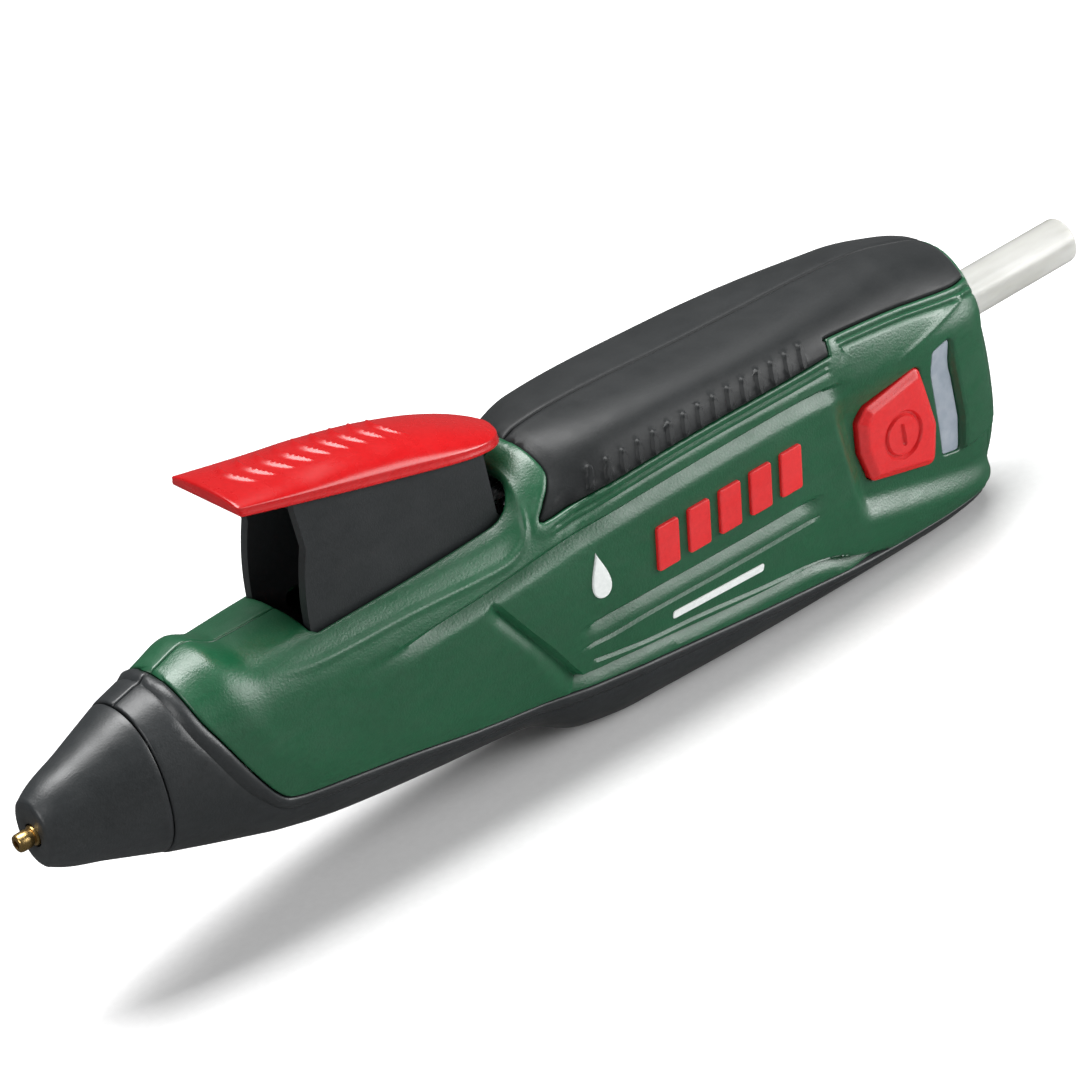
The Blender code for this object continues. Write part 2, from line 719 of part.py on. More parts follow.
def make_trigger_stem():
    """A channel of two cheeks under a top web, with cam slots, pivot arms and an open front."""
    front = [(lever_arc(z), z) for z in (4.0, 8.0, 12.0, 16.0, 19.0, 22.2)]
    front_top = (STEM_TOP_FRONT, cap_edge_z(STEM_TOP_FRONT) - 0.1)
    rear_top = (STEM_TOP_REAR, cap_edge_z(STEM_TOP_REAR) - 0.1)
    arm = [(PIVOT[0] + 2.6 * math.cos(a), PIVOT[2] + 2.3 * math.sin(a))
           for a in (math.radians(d) for d in (90, 50, 10, -30, -70, -100))]
    outline = [*front, front_top, rear_top, (78.4, 12.4), (80.0, 9.9), (82.6, 10.8), *arm, (79.4, 3.0),
               (78.6, -3.8), (58.0, -4.0), (50.0, 0.0)]
    stem = add("trigger_stem", prism(outline, -STEM_HALF, STEM_HALF), black_abs(), PIVOT)
    inside = STEM_HALF - STEM_WALL
    room = cutter("cut_stem_room", prism(
        [(30.0, -10.0), (30.0, cap_edge_z(STEM_TOP_FRONT) + 2.8), (77.0, cap_edge_z(77.0) - 2.0), (77.0, 8.0),
         (95.0, 8.0), (95.0, -10.0)], -inside, inside))
    notch = cutter("cut_stem_arms", box((77.0, -inside, 7.0), (95.0, inside, 20.0)))
    pin_hole = rod(-FAR, FAR, PIVOT_PIN_RADIUS + PIN_CLEARANCE, "Y", PIVOT, 16)
    cam = cutter("cut_cam", joined([prism(cam_slot(), -FAR, FAR), pin_hole]))
    boolean(stem, room, "DIFFERENCE")
    boolean(stem, notch, "DIFFERENCE")
    boolean(stem, cam, "DIFFERENCE")


def cam_slot():
    """The path of the feed pin as the lever sees it, as wide as the pin and its clearance."""
    half = FEED_PIN_RADIUS + 0.12
    steps = 6
    path = [turn_about_pivot(FEED_PIN_X - FEED_STROKE * k / steps, 0.0, -PRESS_DEGREES * k / steps)
            for k in range(steps + 1)]
    left = offset_line(path, half)
    right = offset_line(path, -half)

    def cap_arc(centre, start):
        out = np.array(start) - np.array(centre)
        return [(centre[0] + out[0] * math.cos(a) + out[1] * math.sin(a),
                 centre[1] - out[0] * math.sin(a) + out[1] * math.cos(a))
                for a in (math.pi * k / 6 for k in range(1, 6))]

    return [*left, *cap_arc(path[-1], left[-1]), *reversed(right), *cap_arc(path[0], right[0])]


def make_pivot():
    add("trigger_pin", rod(-9.3, 9.3, PIVOT_PIN_RADIUS, "Y", PIVOT, 16), steel())


def make_trigger_spring():
    """A torsion spring round the pivot pin, with one leg under the lever's web."""
    turns, pitch, radius, wire, per_turn = 5, 1.3, 1.95, 0.32, 9
    start = -turns * pitch / 2
    lead = math.radians(120)
    points = [(75.2, start, 17.4), (80.6, start, 11.4)]
    for k in range(turns * per_turn + 1):
        angle = lead + 2 * math.pi * k / per_turn
        points.append((PIVOT[0] + radius * math.cos(angle), start + pitch * k / per_turn,
                       PIVOT[2] + radius * math.sin(angle)))
    points.append((PIVOT[0] - 4.0, start + turns * pitch, PIVOT[2] - 0.6))
    add_wire("trigger_spring", points, wire, steel(), 0)


def add_wire(name, points, radius, look, resolution):
    curve = bpy.data.curves.new(name, "CURVE")
    curve.dimensions = "3D"
    curve.bevel_depth = radius * MM
    curve.bevel_resolution = resolution
    curve.use_fill_caps = True
    spline = curve.splines.new("POLY")
    spline.points.add(len(points) - 1)
    for target, point in zip(spline.points, points):
        target.co = (*world(point), 1.0)
    curve.materials.append(look)
    obj = bpy.data.objects.new(name, curve)
    bpy.context.scene.collection.objects.link(obj)
    return obj


def make_carriage():
    """A sleeve round the glue stick, with a trunnion on each side and a window for the jaw."""
    half = STEM_HALF - STEM_WALL - 0.4
    block = add("feed_carriage", box((FEED_PIN_X - 4.6, -half, -4.9), (FEED_PIN_X + 5.4, half, 4.9)),
                black_abs(), (FEED_PIN_X, 0, 0))
    parts = []
    for side in (-1, 1):
        parts.append(rod(side * 4.6, side * (STEM_HALF - 0.2), FEED_PIN_RADIUS, "Y", (FEED_PIN_X, 0, 0), 16))
        ear = [(61.6, 4.0), (65.2, 4.0), (65.2, 7.6), (61.6, 7.6)]
        parts.append(prism(ear, *sorted((side * 2.5, side * 4.5))))
    pins = cutter("add_trunnions", joined(parts))
    pin_hole = cutter("cut_jaw_pin", rod(-8.0, 8.0, 0.6, "Y", JAW_PIVOT, 12))
    bore = cutter("cut_carriage", rod(FEED_PIN_X - 20, FEED_PIN_X + 20, GUIDE_BORE, "X", (0, 0, 0), 20))
    window = cutter("cut_jaw_window", box((FEED_PIN_X - 2.6, -2.3, 1.0), (FEED_PIN_X + 3.4, 2.3, 12.0)))
    boolean(block, pins, "UNION")
    boolean(block, bore, "DIFFERENCE")
    boolean(block, window, "DIFFERENCE")
    boolean(block, pin_hole, "DIFFERENCE")


def make_jaw():
    """A toothed plate that tips onto the stick when the carriage is driven."""
    outline = [(58.9, 3.75), (59.9, 3.75), (60.5, 4.4), (62.3, 4.6), (64.6, 5.1), (64.8, 7.2), (63.6, 7.6),
               (61.2, 7.4), (58.9, 6.4)]
    jaw = add("feed_jaw", prism(outline, -1.9, 1.9), steel(), JAW_PIVOT)
    hole = cutter("cut_jaw", rod(-5.0, 5.0, 0.62, "Y", JAW_PIVOT, 12))
    boolean(jaw, hole, "DIFFERENCE")
    add("jaw_pin", rod(-4.4, 4.4, 0.55, "Y", JAW_PIVOT, 12), steel(), JAW_PIVOT)


# ---------------------------------------------------------------- power

def make_cell():
    profile = [(CELL_FRONT, 0), (CELL_FRONT, CELL_RADIUS - 0.4), (CELL_FRONT + 0.4, CELL_RADIUS),
               (CELL_REAR - 0.6, CELL_RADIUS), (CELL_REAR, CELL_RADIUS - 0.6), (CELL_REAR, 0)]
    add("battery_cell", turned(profile, "X", (0, 0, CELL_Z), 24, hollow=False), cell_wrap())
    front, rear = CELL_FRONT - GAP, CELL_REAR + GAP
    add("battery_tab_front", box((front - TAB_THICK, -3.0, CELL_Z - 3.0), (front, 3.0, CELL_Z + 6.0)), nickel())
    add("battery_tab_rear", box((rear, -5.0, CELL_Z - 3.0), (rear + TAB_THICK, 3.0, CELL_Z + 3.0)), nickel())


def make_board():
    back = BOARD_FACE_Y + BOARD_THICK
    add("circuit_board", box((139.0, BOARD_FACE_Y, -16.0), (158.0, back, 5.4)), board_green())
    centre = (BUTTON_CENTRE[0], 0, BUTTON_CENTRE[1])
    switch = [(BOARD_FACE_Y - GAP, 0), (BOARD_FACE_Y - GAP, 2.9), (-9.7, 2.9), (-9.7, 1.6), (-10.4, 1.6),
              (-10.4, 0)]
    add("tactile_switch", turned(switch, "Y", centre, 16, hollow=False), black_abs())
    for n, z in enumerate((-1.0, -6.0, -11.0), 1):
        add(f"status_led_{n}", box((153.9, -9.2, z - 0.9), (155.3, BOARD_FACE_Y - GAP, z + 0.9)), led_white())
    add("charge_board", box((157.4, -4.4, -18.9), (163.8, 4.4, -17.9)), board_green())
    half = SOCKET_HALF - 0.2
    socket = add("charging_socket", box((159.0, -half, SOCKET_LOW), (165.6, half, SOCKET_HIGH)), nickel())
    inner_half = half - SOCKET_SHEET
    mouth = cutter("cut_socket", box((160.6, -inner_half, SOCKET_LOW + SOCKET_SHEET),
                                     (172.0, inner_half, SOCKET_HIGH - SOCKET_SHEET)))
    boolean(socket, mouth, "DIFFERENCE")


def make_controls():
    x, z = BUTTON_CENTRE
    button = add("power_button", prism(rounded(BUTTON, CORNER_BUTTON, 3), -FAR, BUTTON_BACK_Y), red_abs(),
                 (x, BUTTON_BACK_Y, z))
    skin = cutter("zone_button", body_solid(-BUTTON_PROUD, 0))
    boolean(button, skin, "INTERSECT")
    lens = add("light_window", prism(rounded(WINDOW, CORNER_WINDOW, 2, -GAP / 2), -FAR, LENS_BACK_Y),
               grey_lens())
    flush = cutter("zone_lens", body_solid(0.1, 0))
    boolean(lens, flush, "INTERSECT")


def make_screws():
    profile = [(SCREW_TIP_Y, 0), (SCREW_TIP_Y + 1.2, SCREW_RADIUS), (SCREW_HEAD_Y, SCREW_RADIUS),
               (SCREW_HEAD_Y, SCREW_HEAD_RADIUS), (SCREW_HEAD_Y + 1.2, SCREW_HEAD_RADIUS),
               (SCREW_HEAD_Y + 1.7, 1.4), (SCREW_HEAD_Y + 1.7, 0)]
    for n, (x, z) in enumerate(SCREWS, 1):
        add(f"housing_screw_{n}", turned(profile, "Y", (x, 0, z), 14, hollow=False), steel())


def make_wires():
    """Two heater leads along the right side, and the cell's two leads to the board."""
    for n, look in enumerate((wire_black(), wire_red())):
        rise = 1.8 * n
        route = [(42.6, 5.8 + 0.6 * n, -5.4 + rise), (44.6, 7.5 + 0.3 * n, -4.8 + rise),
                 (47.5, 8.4, -4.2 + rise), (60.0, 8.7, -4.0 + rise), (86.0, 9.4, -4.0 + rise),
                 (132.0, 9.2, -4.0 + rise), (140.0, 6.2, -5.0 + rise), (142.0, 0.0, -7.9 + rise),
                 (142.6, BOARD_FACE_Y + BOARD_THICK + 0.5, -8.4 + rise)]
        add_wire(f"heater_lead_{n + 1}", smooth_line(route, 2), 0.55, look, 1)
    rear = [(138.9, -1.0, -17.0), (139.7, -2.4, -18.2), (140.7, -4.6, -17.2), (141.4, -6.3, -15.0)]
    add_wire("cell_lead_red", smooth_line(rear, 2), 0.5, wire_red(), 1)
    front = [(86.1, 2.0, -8.4), (86.0, 5.4, -6.6), (89.0, 8.6, -6.4), (132.0, 9.0, -6.8), (139.4, 7.4, -9.0),
             (141.0, 0.0, -11.4), (141.6, -6.3, -11.8)]
    add_wire("cell_lead_black", smooth_line(front, 2), 0.5, wire_black(), 1)


def main():
    clear_scene()
    make_shells()
    make_nose()
    make_nozzle()
    make_heater()
    make_guide()
    make_stick()
    make_trigger_cap()
    make_trigger_stem()
    make_pivot()
    make_trigger_spring()
    make_carriage()
    make_jaw()
    make_cell()
    make_board()
    make_controls()
    make_screws()
    make_wires()


main()
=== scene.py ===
"""A cordless glue pen at rest on a pale floor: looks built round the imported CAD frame.

Lengths are in millimetres in tool coordinates (X from the nozzle's tip to the rear, Y to the tool's right,
Z up from the glue axis) and become metres in to_world(). "arc" is the length round the skin from its top.
"""

from math import acos, ceil, copysign, cos, pi, radians, sin, sqrt, tan

import bmesh
import bpy
import numpy as np
from mathutils import Matrix, Vector, geometry, kdtree


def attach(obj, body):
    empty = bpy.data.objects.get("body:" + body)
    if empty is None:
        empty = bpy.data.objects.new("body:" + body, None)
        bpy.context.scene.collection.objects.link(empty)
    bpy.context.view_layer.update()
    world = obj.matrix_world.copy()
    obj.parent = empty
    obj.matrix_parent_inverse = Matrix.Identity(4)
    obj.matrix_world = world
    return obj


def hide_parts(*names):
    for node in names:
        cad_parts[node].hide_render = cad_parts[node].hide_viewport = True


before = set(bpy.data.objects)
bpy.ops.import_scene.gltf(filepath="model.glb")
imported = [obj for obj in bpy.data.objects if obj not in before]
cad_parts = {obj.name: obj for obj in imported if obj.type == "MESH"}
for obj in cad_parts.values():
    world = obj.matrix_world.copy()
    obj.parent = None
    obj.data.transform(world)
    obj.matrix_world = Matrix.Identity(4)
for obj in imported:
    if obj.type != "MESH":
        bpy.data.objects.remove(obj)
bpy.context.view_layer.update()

MM = 0.001
THIN = 0.001          # stands for no radius where a profile meets its axis
TIP_TO_ORIGIN = 95.0
AXIS_HEIGHT = 28.0
SPLIT = 0.05          # half the gap between the two halves
SEAM = 0.1            # half the gap between neighbouring mouldings
FAR = 99.0            # a side-view height beyond the skin: it lands on the middle plane

# Stations of the body and of the nose cone: x, top, bottom, widest height, half width, upper and lower power.
BODY = [
    (18.0, 11.2, -10.9, 0.0, 8.8, 2.2, 2.2),
    (25.0, 12.9, -13.4, 0.0, 9.9, 2.3, 2.2),
    (31.0, 14.3, -15.5, 0.0, 10.6, 2.4, 2.2),
    (36.0, 12.3, -17.2, 0.0, 11.0, 2.8, 2.2),
    (45.0, 12.2, -19.2, 0.0, 11.6, 3.0, 2.3),
    (60.0, 12.2, -21.0, -1.0, 12.4, 3.0, 2.4),
    (76.0, 12.6, -22.6, -1.0, 13.2, 3.0, 2.5),
    (86.0, 18.0, -27.6, 0.0, 13.6, 2.5, 2.5),
    (95.0, 18.8, -28.8, 0.0, 13.9, 3.7, 2.6),
    (120.0, 17.6, -28.9, -2.0, 14.0, 4.6, 3.0),
    (150.0, 16.2, -28.8, -4.0, 13.6, 2.8, 3.2),
    (158.0, 14.4, -28.3, -5.0, 13.0, 2.6, 3.2),
    (164.0, 12.0, -26.4, -5.5, 11.3, 2.4, 3.0),
    (166.2, 9.6, -23.6, -6.6, 8.2, 2.2, 2.6),
    (167.6, 6.2, -19.4, -7.0, 5.8, 2.1, 2.2),
]
CONE = [
    (2.6, 4.6, -4.4, 0.1, 3.5, 2.1, 2.1),
    (3.2, 5.3, -5.0, 0.1, 4.1, 2.1, 2.1),
    (10.8, 8.3, -8.0, 0.0, 6.5, 2.2, 2.2),
    (19.0, 11.4, -11.1, 0.0, 9.0, 2.2, 2.2),
]
# Side-view lines (x, z): the parting line of the lower shell, and the edge of the grip.
PARTING = [(25.2, 20.0), (25.2, 13.0), (25.9, 8.4), (27.4, 4.8), (30.8, -2.2), (34.3, -7.7), (37.5, -9.6),
           (45.0, -10.8), (56.0, -12.6), (70.0, -15.4), (95.0, -18.6), (122.0, -21.9), (143.0, -24.4),
           (176.0, -24.8)]
GRIP = [(85.9, 22.0), (86.5, 16.0), (85.4, 13.9), (83.4, 12.0), (82.6, 10.3), (92.0, 11.2), (109.0, 11.7),
        (132.0, 11.3), (133.9, 11.3), (134.3, 12.0), (134.6, 13.0), (135.6, 13.4), (149.5, 11.4),
        (162.8, 8.6), (164.2, 9.6), (164.6, 22.0)]
BUTTON = [(149.6, 2.2), (138.8, 0.5), (137.0, -1.2), (136.6, -5.8), (138.0, -11.2), (150.0, -14.3),
          (151.3, -8.2)]
BUTTON_CENTRE = (144.3, -6.4)
BUTTON_CORNER, WINDOW_CORNER = 1.4, 0.6
WINDOW = [(156.2, 3.4), (152.6, 2.8), (152.6, -14.6), (156.1, -15.4), (156.9, -10.0), (156.7, -3.5)]
SCREWS = [(40.0, -13.5), (82.6, -12.4), (150.0, 9.4), (153.6, -20.4)]
PIVOT = (84.5, 0.0, 9.5)
SLOT_FRONT, SLOT_REAR, SLOT_HALF, SLOT_CORNER = 45.7, 81.5, 8.0, 4.0
BODY_FRONT, BODY_REAR = 18.65, 167.6
INLET_RADIUS, INLET_FRONT = 4.96, 160.0
SOCKET_FRONT, SOCKET_HALF, SOCKET_LOW, SOCKET_TOP = 160.6, 4.3, -17.7, -14.3
HOUSING_WALL, LOWER_WALL, GRIP_WALL = 2.1, 2.0, 1.0
WELL_BOTTOM, WELL_BORE, WELL_RADIUS = 4.6, 2.5, 2.9
CAP_FRONT, CAP_REAR, CAP_HALF = 39.4, 84.4, 8.1
CAP_FRONT_Z, CAP_FALL = 31.6, 0.2587
CAP_CROWN = [(39.4, 2.2), (50.0, 3.2), (58.0, 4.1), (65.0, 4.3), (74.0, 3.6), (80.0, 2.6), (84.4, 1.6)]

# Lines moulded into each side of the housing, as (x, z) in side view.
TOP_CHANNEL = [(47.4, 3.6), (55.8, 3.9), (62.6, 4.5), (69.8, 5.0), (76.5, 5.7), (83.5, 6.5), (90.3, 6.9),
               (108.1, 7.3), (127.9, 7.2), (137.5, 6.0)]
PANEL_CHANNEL = [(70.2, 4.7), (74.3, -1.7), (78.3, -7.8), (82.4, -14.2), (84.0, -15.0), (94.8, -15.9),
                 (103.9, -16.9), (114.8, -18.0), (125.9, -18.8), (134.0, -21.8), (141.0, -24.2)]
PANEL_LINE = [(84.4, -12.8), (94.9, -14.4), (103.9, -15.2), (114.9, -16.6), (125.9, -18.0), (133.0, -20.6)]
MIDDLE_CHANNEL = [(82.6, -7.4), (95.8, -7.4), (104.9, -7.6), (116.0, -7.8), (128.6, -7.9)]
SHOULDER = [(36.0, 9.6), (39.5, 8.6), (45.4, 7.9), (59.0, 7.8), (72.7, 7.4), (77.0, 8.0), (79.4, 9.7),
            (81.0, 13.0), (82.4, 16.5)]
COLLAR = [(30.6, 16.0), (30.9, 11.0), (32.2, 5.0), (34.8, -0.5), (38.2, -4.6), (43.0, -7.0), (52.0, -9.4)]
CREASE_LINE = [(139.4, 3.6), (148.0, 5.3), (155.0, 6.4), (161.6, 7.3)]


def to_world(points):
    return (np.asarray(points, float) + (-TIP_TO_ORIGIN, 0.0, AXIS_HEIGHT)) * MM


def table_at(table, x):
    """The values of a station table at x, on a monotone cubic through its rows."""
    rows = np.array(table, float)
    xs, ys = rows[:, 0], rows[:, 1:]
    step = np.diff(xs)[:, None]
    slope = np.diff(ys, axis=0) / step
    tangent = np.zeros_like(ys)
    before, after = slope[:-1], slope[1:]
    same_way = before * after > 0
    weight_a = 2 * step[1:] + step[:-1]
    weight_b = step[1:] + 2 * step[:-1]
    safe_before, safe_after = np.where(same_way, before, 1), np.where(same_way, after, 1)
    total = np.where(same_way, weight_a / safe_before + weight_b / safe_after, 1)
    tangent[1:-1] = np.where(same_way, (weight_a + weight_b) / total, 0)
    tangent[0], tangent[-1] = slope[0], slope[-1]
    i = int(np.clip(np.searchsorted(xs, x) - 1, 0, len(xs) - 2))
    h = xs[i + 1] - xs[i]
    t = (x - xs[i]) / h
    return ((1 + 2 * t) * (1 - t) ** 2 * ys[i] + t * (1 - t) ** 2 * h * tangent[i]
            + t * t * (3 - 2 * t) * ys[i + 1] + t * t * (t - 1) * h * tangent[i + 1])


def smooth_line(points):
    """A Catmull-Rom line through the points, in four steps from each to the next."""
    p = np.array([points[0], *points, points[-1]], float)
    line = []
    for i in range(1, len(p) - 2):
        for t in (0.0, 0.25, 0.5, 0.75):
            line.append(0.5 * (2 * p[i] + (p[i + 1] - p[i - 1]) * t
                               + (2 * p[i - 1] - 5 * p[i] + 4 * p[i + 1] - p[i + 2]) * t * t
                               + (3 * p[i] - 3 * p[i + 1] + p[i + 2] - p[i - 1]) * t ** 3))
    return np.array([*line, p[-1]])


def offset_line(line, distance):
    """The line moved to its left by distance."""
    p = np.array(line, float)
    d = np.gradient(p, axis=0)
    d /= np.linalg.norm(d, axis=1)[:, None]
    return p + distance * np.stack([-d[:, 1], d[:, 0]], 1)


def rounded(outline, radius, steps=6, grow=0.0):
    """The closed outline, grown outwards by grow, with its corners rounded."""
    p = np.array(outline, float)
    turn = sum(a[0] * b[1] - b[0] * a[1] for a, b in zip(p, np.roll(p, -1, 0)))
    sign = 1 if turn > 0 else -1
    line = []
    for i, here in enumerate(p):
        a = p[i - 1] - here
        b = p[(i + 1) % len(p)] - here
        len_a, len_b = np.linalg.norm(a), np.linalg.norm(b)
        a, b = a / len_a, b / len_b
        out_a = sign * np.array([-a[1], a[0]])
        out_b = -sign * np.array([-b[1], b[0]])
        bisector = out_a + out_b
        corner = here + bisector * grow / (bisector @ out_a)
        half = acos(max(-1.0, min(1.0, float(a @ b)))) / 2
        cut = min((radius + grow) / tan(half), 0.45 * len_a, 0.45 * len_b)
        start, end = corner + a * cut, corner + b * cut
        for k in range(steps + 1):
            t = k / steps
            line.append((1 - t) ** 2 * start + 2 * t * (1 - t) * corner + t * t * end)
    return np.array(line)


def full_turn(count):
    return np.linspace(0, 2 * pi, count, endpoint=False)


def densified(points, pitch, closed=False):
    """The line with every segment cut into steps of about pitch."""
    p = np.array(points, float)
    ends = np.roll(p, -1, 0) if closed else p[1:]
    line = []
    for a, b in zip(p, ends):
        count = max(1, int(ceil(np.linalg.norm(b - a) / pitch)))
        line += [a + (b - a) * k / count for k in range(count)]
    if not closed:
        line.append(p[-1])
    return np.array(line)


def eased(t):
    t = np.clip(t, 0.0, 1.0)
    return t * t * (3 - 2 * t)


class Skin:
    """The outer surface of one half, addressed by x and by arc length from the top centre line."""

    def __init__(self, table, first, last, pitch=0.25, count=321):
        self.first, self.pitch, self.count = first, pitch, count
        self.xs = np.arange(first, last + pitch, pitch)
        angle = np.linspace(0, pi, 1441)
        up, out = np.abs(np.cos(angle)), np.sin(angle)
        upper = angle <= pi / 2
        self.y = np.empty((len(self.xs), count))
        self.z = np.empty_like(self.y)
        self.length = np.empty(len(self.xs))
        for i, x in enumerate(self.xs):
            top, bottom, mid, half, n_up, n_low = table_at(table, min(x, last))
            n = np.where(upper, n_up, n_low)
            radius = (up ** n + out ** n) ** (-1 / n)
            y = half * radius * out
            z = mid + np.where(upper, top - mid, bottom - mid) * radius * up
            arc = np.concatenate([[0], np.cumsum(np.hypot(np.diff(y), np.diff(z)))])
            even = np.linspace(0, arc[-1], count)
            self.y[i], self.z[i], self.length[i] = np.interp(even, arc, y), np.interp(even, arc, z), arc[-1]

    def at(self, x, a):
        x, a = np.asarray(x, float), np.asarray(a, float)
        place = np.clip((x - self.first) / self.pitch, 0, len(self.xs) - 1.001)
        i = place.astype(int)
        t = place - i
        found = []
        for values in (self.y, self.z):
            rows = []
            for row in (i, i + 1):
                k = np.clip(a / self.length[row], 0, 1) * (self.count - 1)
                j = np.minimum(k.astype(int), self.count - 2)
                rows.append(values[row, j] * (1 - (k - j)) + values[row, j + 1] * (k - j))
            found.append(rows[0] * (1 - t) + rows[1] * t)
        return np.stack([x, found[0], np.maximum(found[1], -AXIS_HEIGHT)], -1)

    def normal(self, x, a, h=0.3):
        along = self.at(x + h, a) - self.at(x - h, a)
        round_it = self.at(x, a + h) - self.at(x, a - h)
        n = np.cross(along, round_it)
        return n / np.maximum(np.linalg.norm(n, axis=-1), 1e-9)[..., None]

    def section(self, x):
        i = int(np.clip((x - self.first) / self.pitch, 0, len(self.xs) - 2))
        t = float(np.clip((x - self.first) / self.pitch - i, 0, 1))
        mix = [v[i] * (1 - t) + v[i + 1] * t for v in (self.y, self.z)]
        return mix[0], mix[1], self.length[i] * (1 - t) + self.length[i + 1] * t

    def from_side(self, points, clear=SPLIT):
        """Side-view points (x, z) as (x, arc), kept off the centre plane by clear."""
        found = []
        for x, z in points:
            ys, zs, length = self.section(x)
            arcs = np.linspace(0, length, self.count)
            arc = np.interp(-z, -zs, arcs)
            upper = arcs < length / 2
            low = np.interp(clear, ys[upper], arcs[upper])
            high = length - np.interp(clear, ys[::-1][upper], arcs[upper])
            found.append((x, float(np.clip(arc, low, high))))
        return np.array(found)

    def from_top(self, points):
        """Plan-view points (x, y) on the upper side as (x, arc)."""
        found = []
        for x, y in points:
            ys, _, length = self.section(x)
            arcs = np.linspace(0, length, self.count)
            upper = np.arange(self.count) <= int(np.argmax(ys))
            found.append((x, float(np.interp(y, ys[upper], arcs[upper]))))
        return np.array(found)


def near(line, x, a):
    """The signed distance to an open line (positive on its right) and the place along it, from 0 to 1."""
    p = np.stack([x, a], 1)
    best = np.full(len(p), 1e9)
    side, place = np.zeros(len(p)), np.zeros(len(p))
    lengths = np.linalg.norm(np.diff(line, axis=0), axis=1)
    before = np.concatenate([[0], np.cumsum(lengths)])
    for k, (start, end) in enumerate(zip(line[:-1], line[1:])):
        d = end - start
        t = np.clip((p - start) @ d / max(d @ d, 1e-12), 0, 1)
        q = p - start - t[:, None] * d
        distance = np.hypot(q[:, 0], q[:, 1])
        closer = distance < best
        best = np.where(closer, distance, best)
        side = np.where(closer, np.sign(d[0] * (p[:, 1] - start[1]) - d[1] * (p[:, 0] - start[0])), side)
        place = np.where(closer, (before[k] + t * lengths[k]) / before[-1], place)
    return best * np.where(side == 0, 1, side), place


def inside(outline, p):
    """Which points are inside a closed outline."""
    found = np.zeros(len(p), bool)
    for a, b in zip(outline, np.roll(outline, -1, 0)):
        if a[1] == b[1]:
            continue
        crosses = (a[1] > p[:, 1]) != (b[1] > p[:, 1])
        found ^= crosses & (p[:, 0] < (b[0] - a[0]) * (p[:, 1] - a[1]) / (b[1] - a[1]) + a[0])
    return found


def in_area(outline, holes, p):
    ok = inside(outline, p)
    for hole in holes:
        ok &= ~inside(hole, p)
    return ok


def gaps(p, others):
    """How far each point is from the nearest of the others."""
    tree = kdtree.KDTree(len(others))
    for k, q in enumerate(others):
        tree.insert((q[0], q[1], 0), k)
    tree.balance()
    return np.array([tree.find((q[0], q[1], 0))[2] for q in p])


def distance_to(loops, p):
    """How far each point is from the nearest of the closed loops."""
    return gaps(p, np.concatenate([densified(loop, 0.06, closed=True) for loop in loops]))


def triangulated(outline, holes, extra, pitch, rows):
    """Points and triangles filling the outline round its holes.

    Rows of points follow the edges, the extra points come next, and a grid of pitch fills the rest.
    """
    loops = [outline, *holes]
    along_edge = []
    for loop in loops:
        d = np.roll(loop, -1, 0) - np.roll(loop, 1, 0)
        d /= np.maximum(np.linalg.norm(d, axis=1), 1e-9)[:, None]
        across = np.stack([-d[:, 1], d[:, 0]], 1)
        for r in rows:
            along_edge += [(r, loop + across * r), (r, loop - across * r)]
    low, high = outline.min(0), outline.max(0)
    columns = np.arange(low[0], high[0], pitch)
    lines = np.arange(low[1], high[1], pitch * 0.866)
    grid = np.array([(x + (pitch / 2 if k % 2 else 0), a) for k, a in enumerate(lines) for x in columns])
    parts = along_edge + [(0.0, e) for e in extra] + [(-1.0, grid)]
    points = np.concatenate([q for _, q in parts])
    kinds = np.concatenate([np.full(len(q), r) for r, q in parts])
    ok = in_area(outline, holes, points)
    points, kinds = points[ok], kinds[ok]
    gap = distance_to(loops, points)
    last = rows[-1]
    need = np.where(kinds > 0, kinds * 0.94, np.where(kinds < 0, last + pitch * 0.4, last + 0.12))
    ok = gap >= need
    points, kinds = points[ok], kinds[ok]
    crowded = gaps(points, points[kinds >= 0]) < pitch * 0.55
    kept = [(float(q[0]), float(q[1])) for q in points[(kinds >= 0) | ~crowded]]
    verts, edges = [], []
    for loop in loops:
        first = len(verts)
        verts += [(float(q[0]), float(q[1])) for q in loop]
        edges += [(first + k, first + (k + 1) % len(loop)) for k in range(len(loop))]
    filled = geometry.delaunay_2d_cdt([Vector(v) for v in verts + kept], edges, [], 0, 1e-5)
    p = np.array([tuple(v) for v in filled[0]])
    tris = np.array(filled[2])
    tris = tris[in_area(outline, holes, p[tris].mean(1))]
    u, v = p[tris[:, 1]] - p[tris[:, 0]], p[tris[:, 2]] - p[tris[:, 0]]
    turn = u[:, 0] * v[:, 1] - u[:, 1] * v[:, 0]
    tris = tris[np.abs(turn) > 1e-9]
    turn = turn[np.abs(turn) > 1e-9]
    tris[turn < 0] = tris[turn < 0][:, ::-1]
    return p, tris, loops


def solid_of(outer, inner, tris, flip):
    """A closed mesh from an outer and an inner copy of the same triangles, joined round their free edges."""
    used, tris = np.unique(tris, return_inverse=True)
    tris = tris.reshape(-1, 3)
    outer, inner = outer[used], inner[used]
    count = len(outer)
    directed = np.concatenate([tris[:, [0, 1]], tris[:, [1, 2]], tris[:, [2, 0]]])
    there = {(int(a), int(b)) for a, b in directed}
    free = [(a, b) for a, b in there if (b, a) not in there]
    faces = [tuple(t) for t in tris.tolist()]
    faces += [(c + count, b + count, a + count) for a, b, c in tris.tolist()]
    faces += [(b, a, a + count, b + count) for a, b in sorted(free)]
    if flip:
        faces = [f[::-1] for f in faces]
    mesh = bpy.data.meshes.new("made")
    mesh.from_pydata([tuple(v) for v in to_world(np.concatenate([outer, inner]))], [], faces)
    mesh.validate()
    return mesh


def placed(name, data):
    obj = bpy.data.objects.new(name, data)
    bpy.context.scene.collection.objects.link(obj)
    return obj


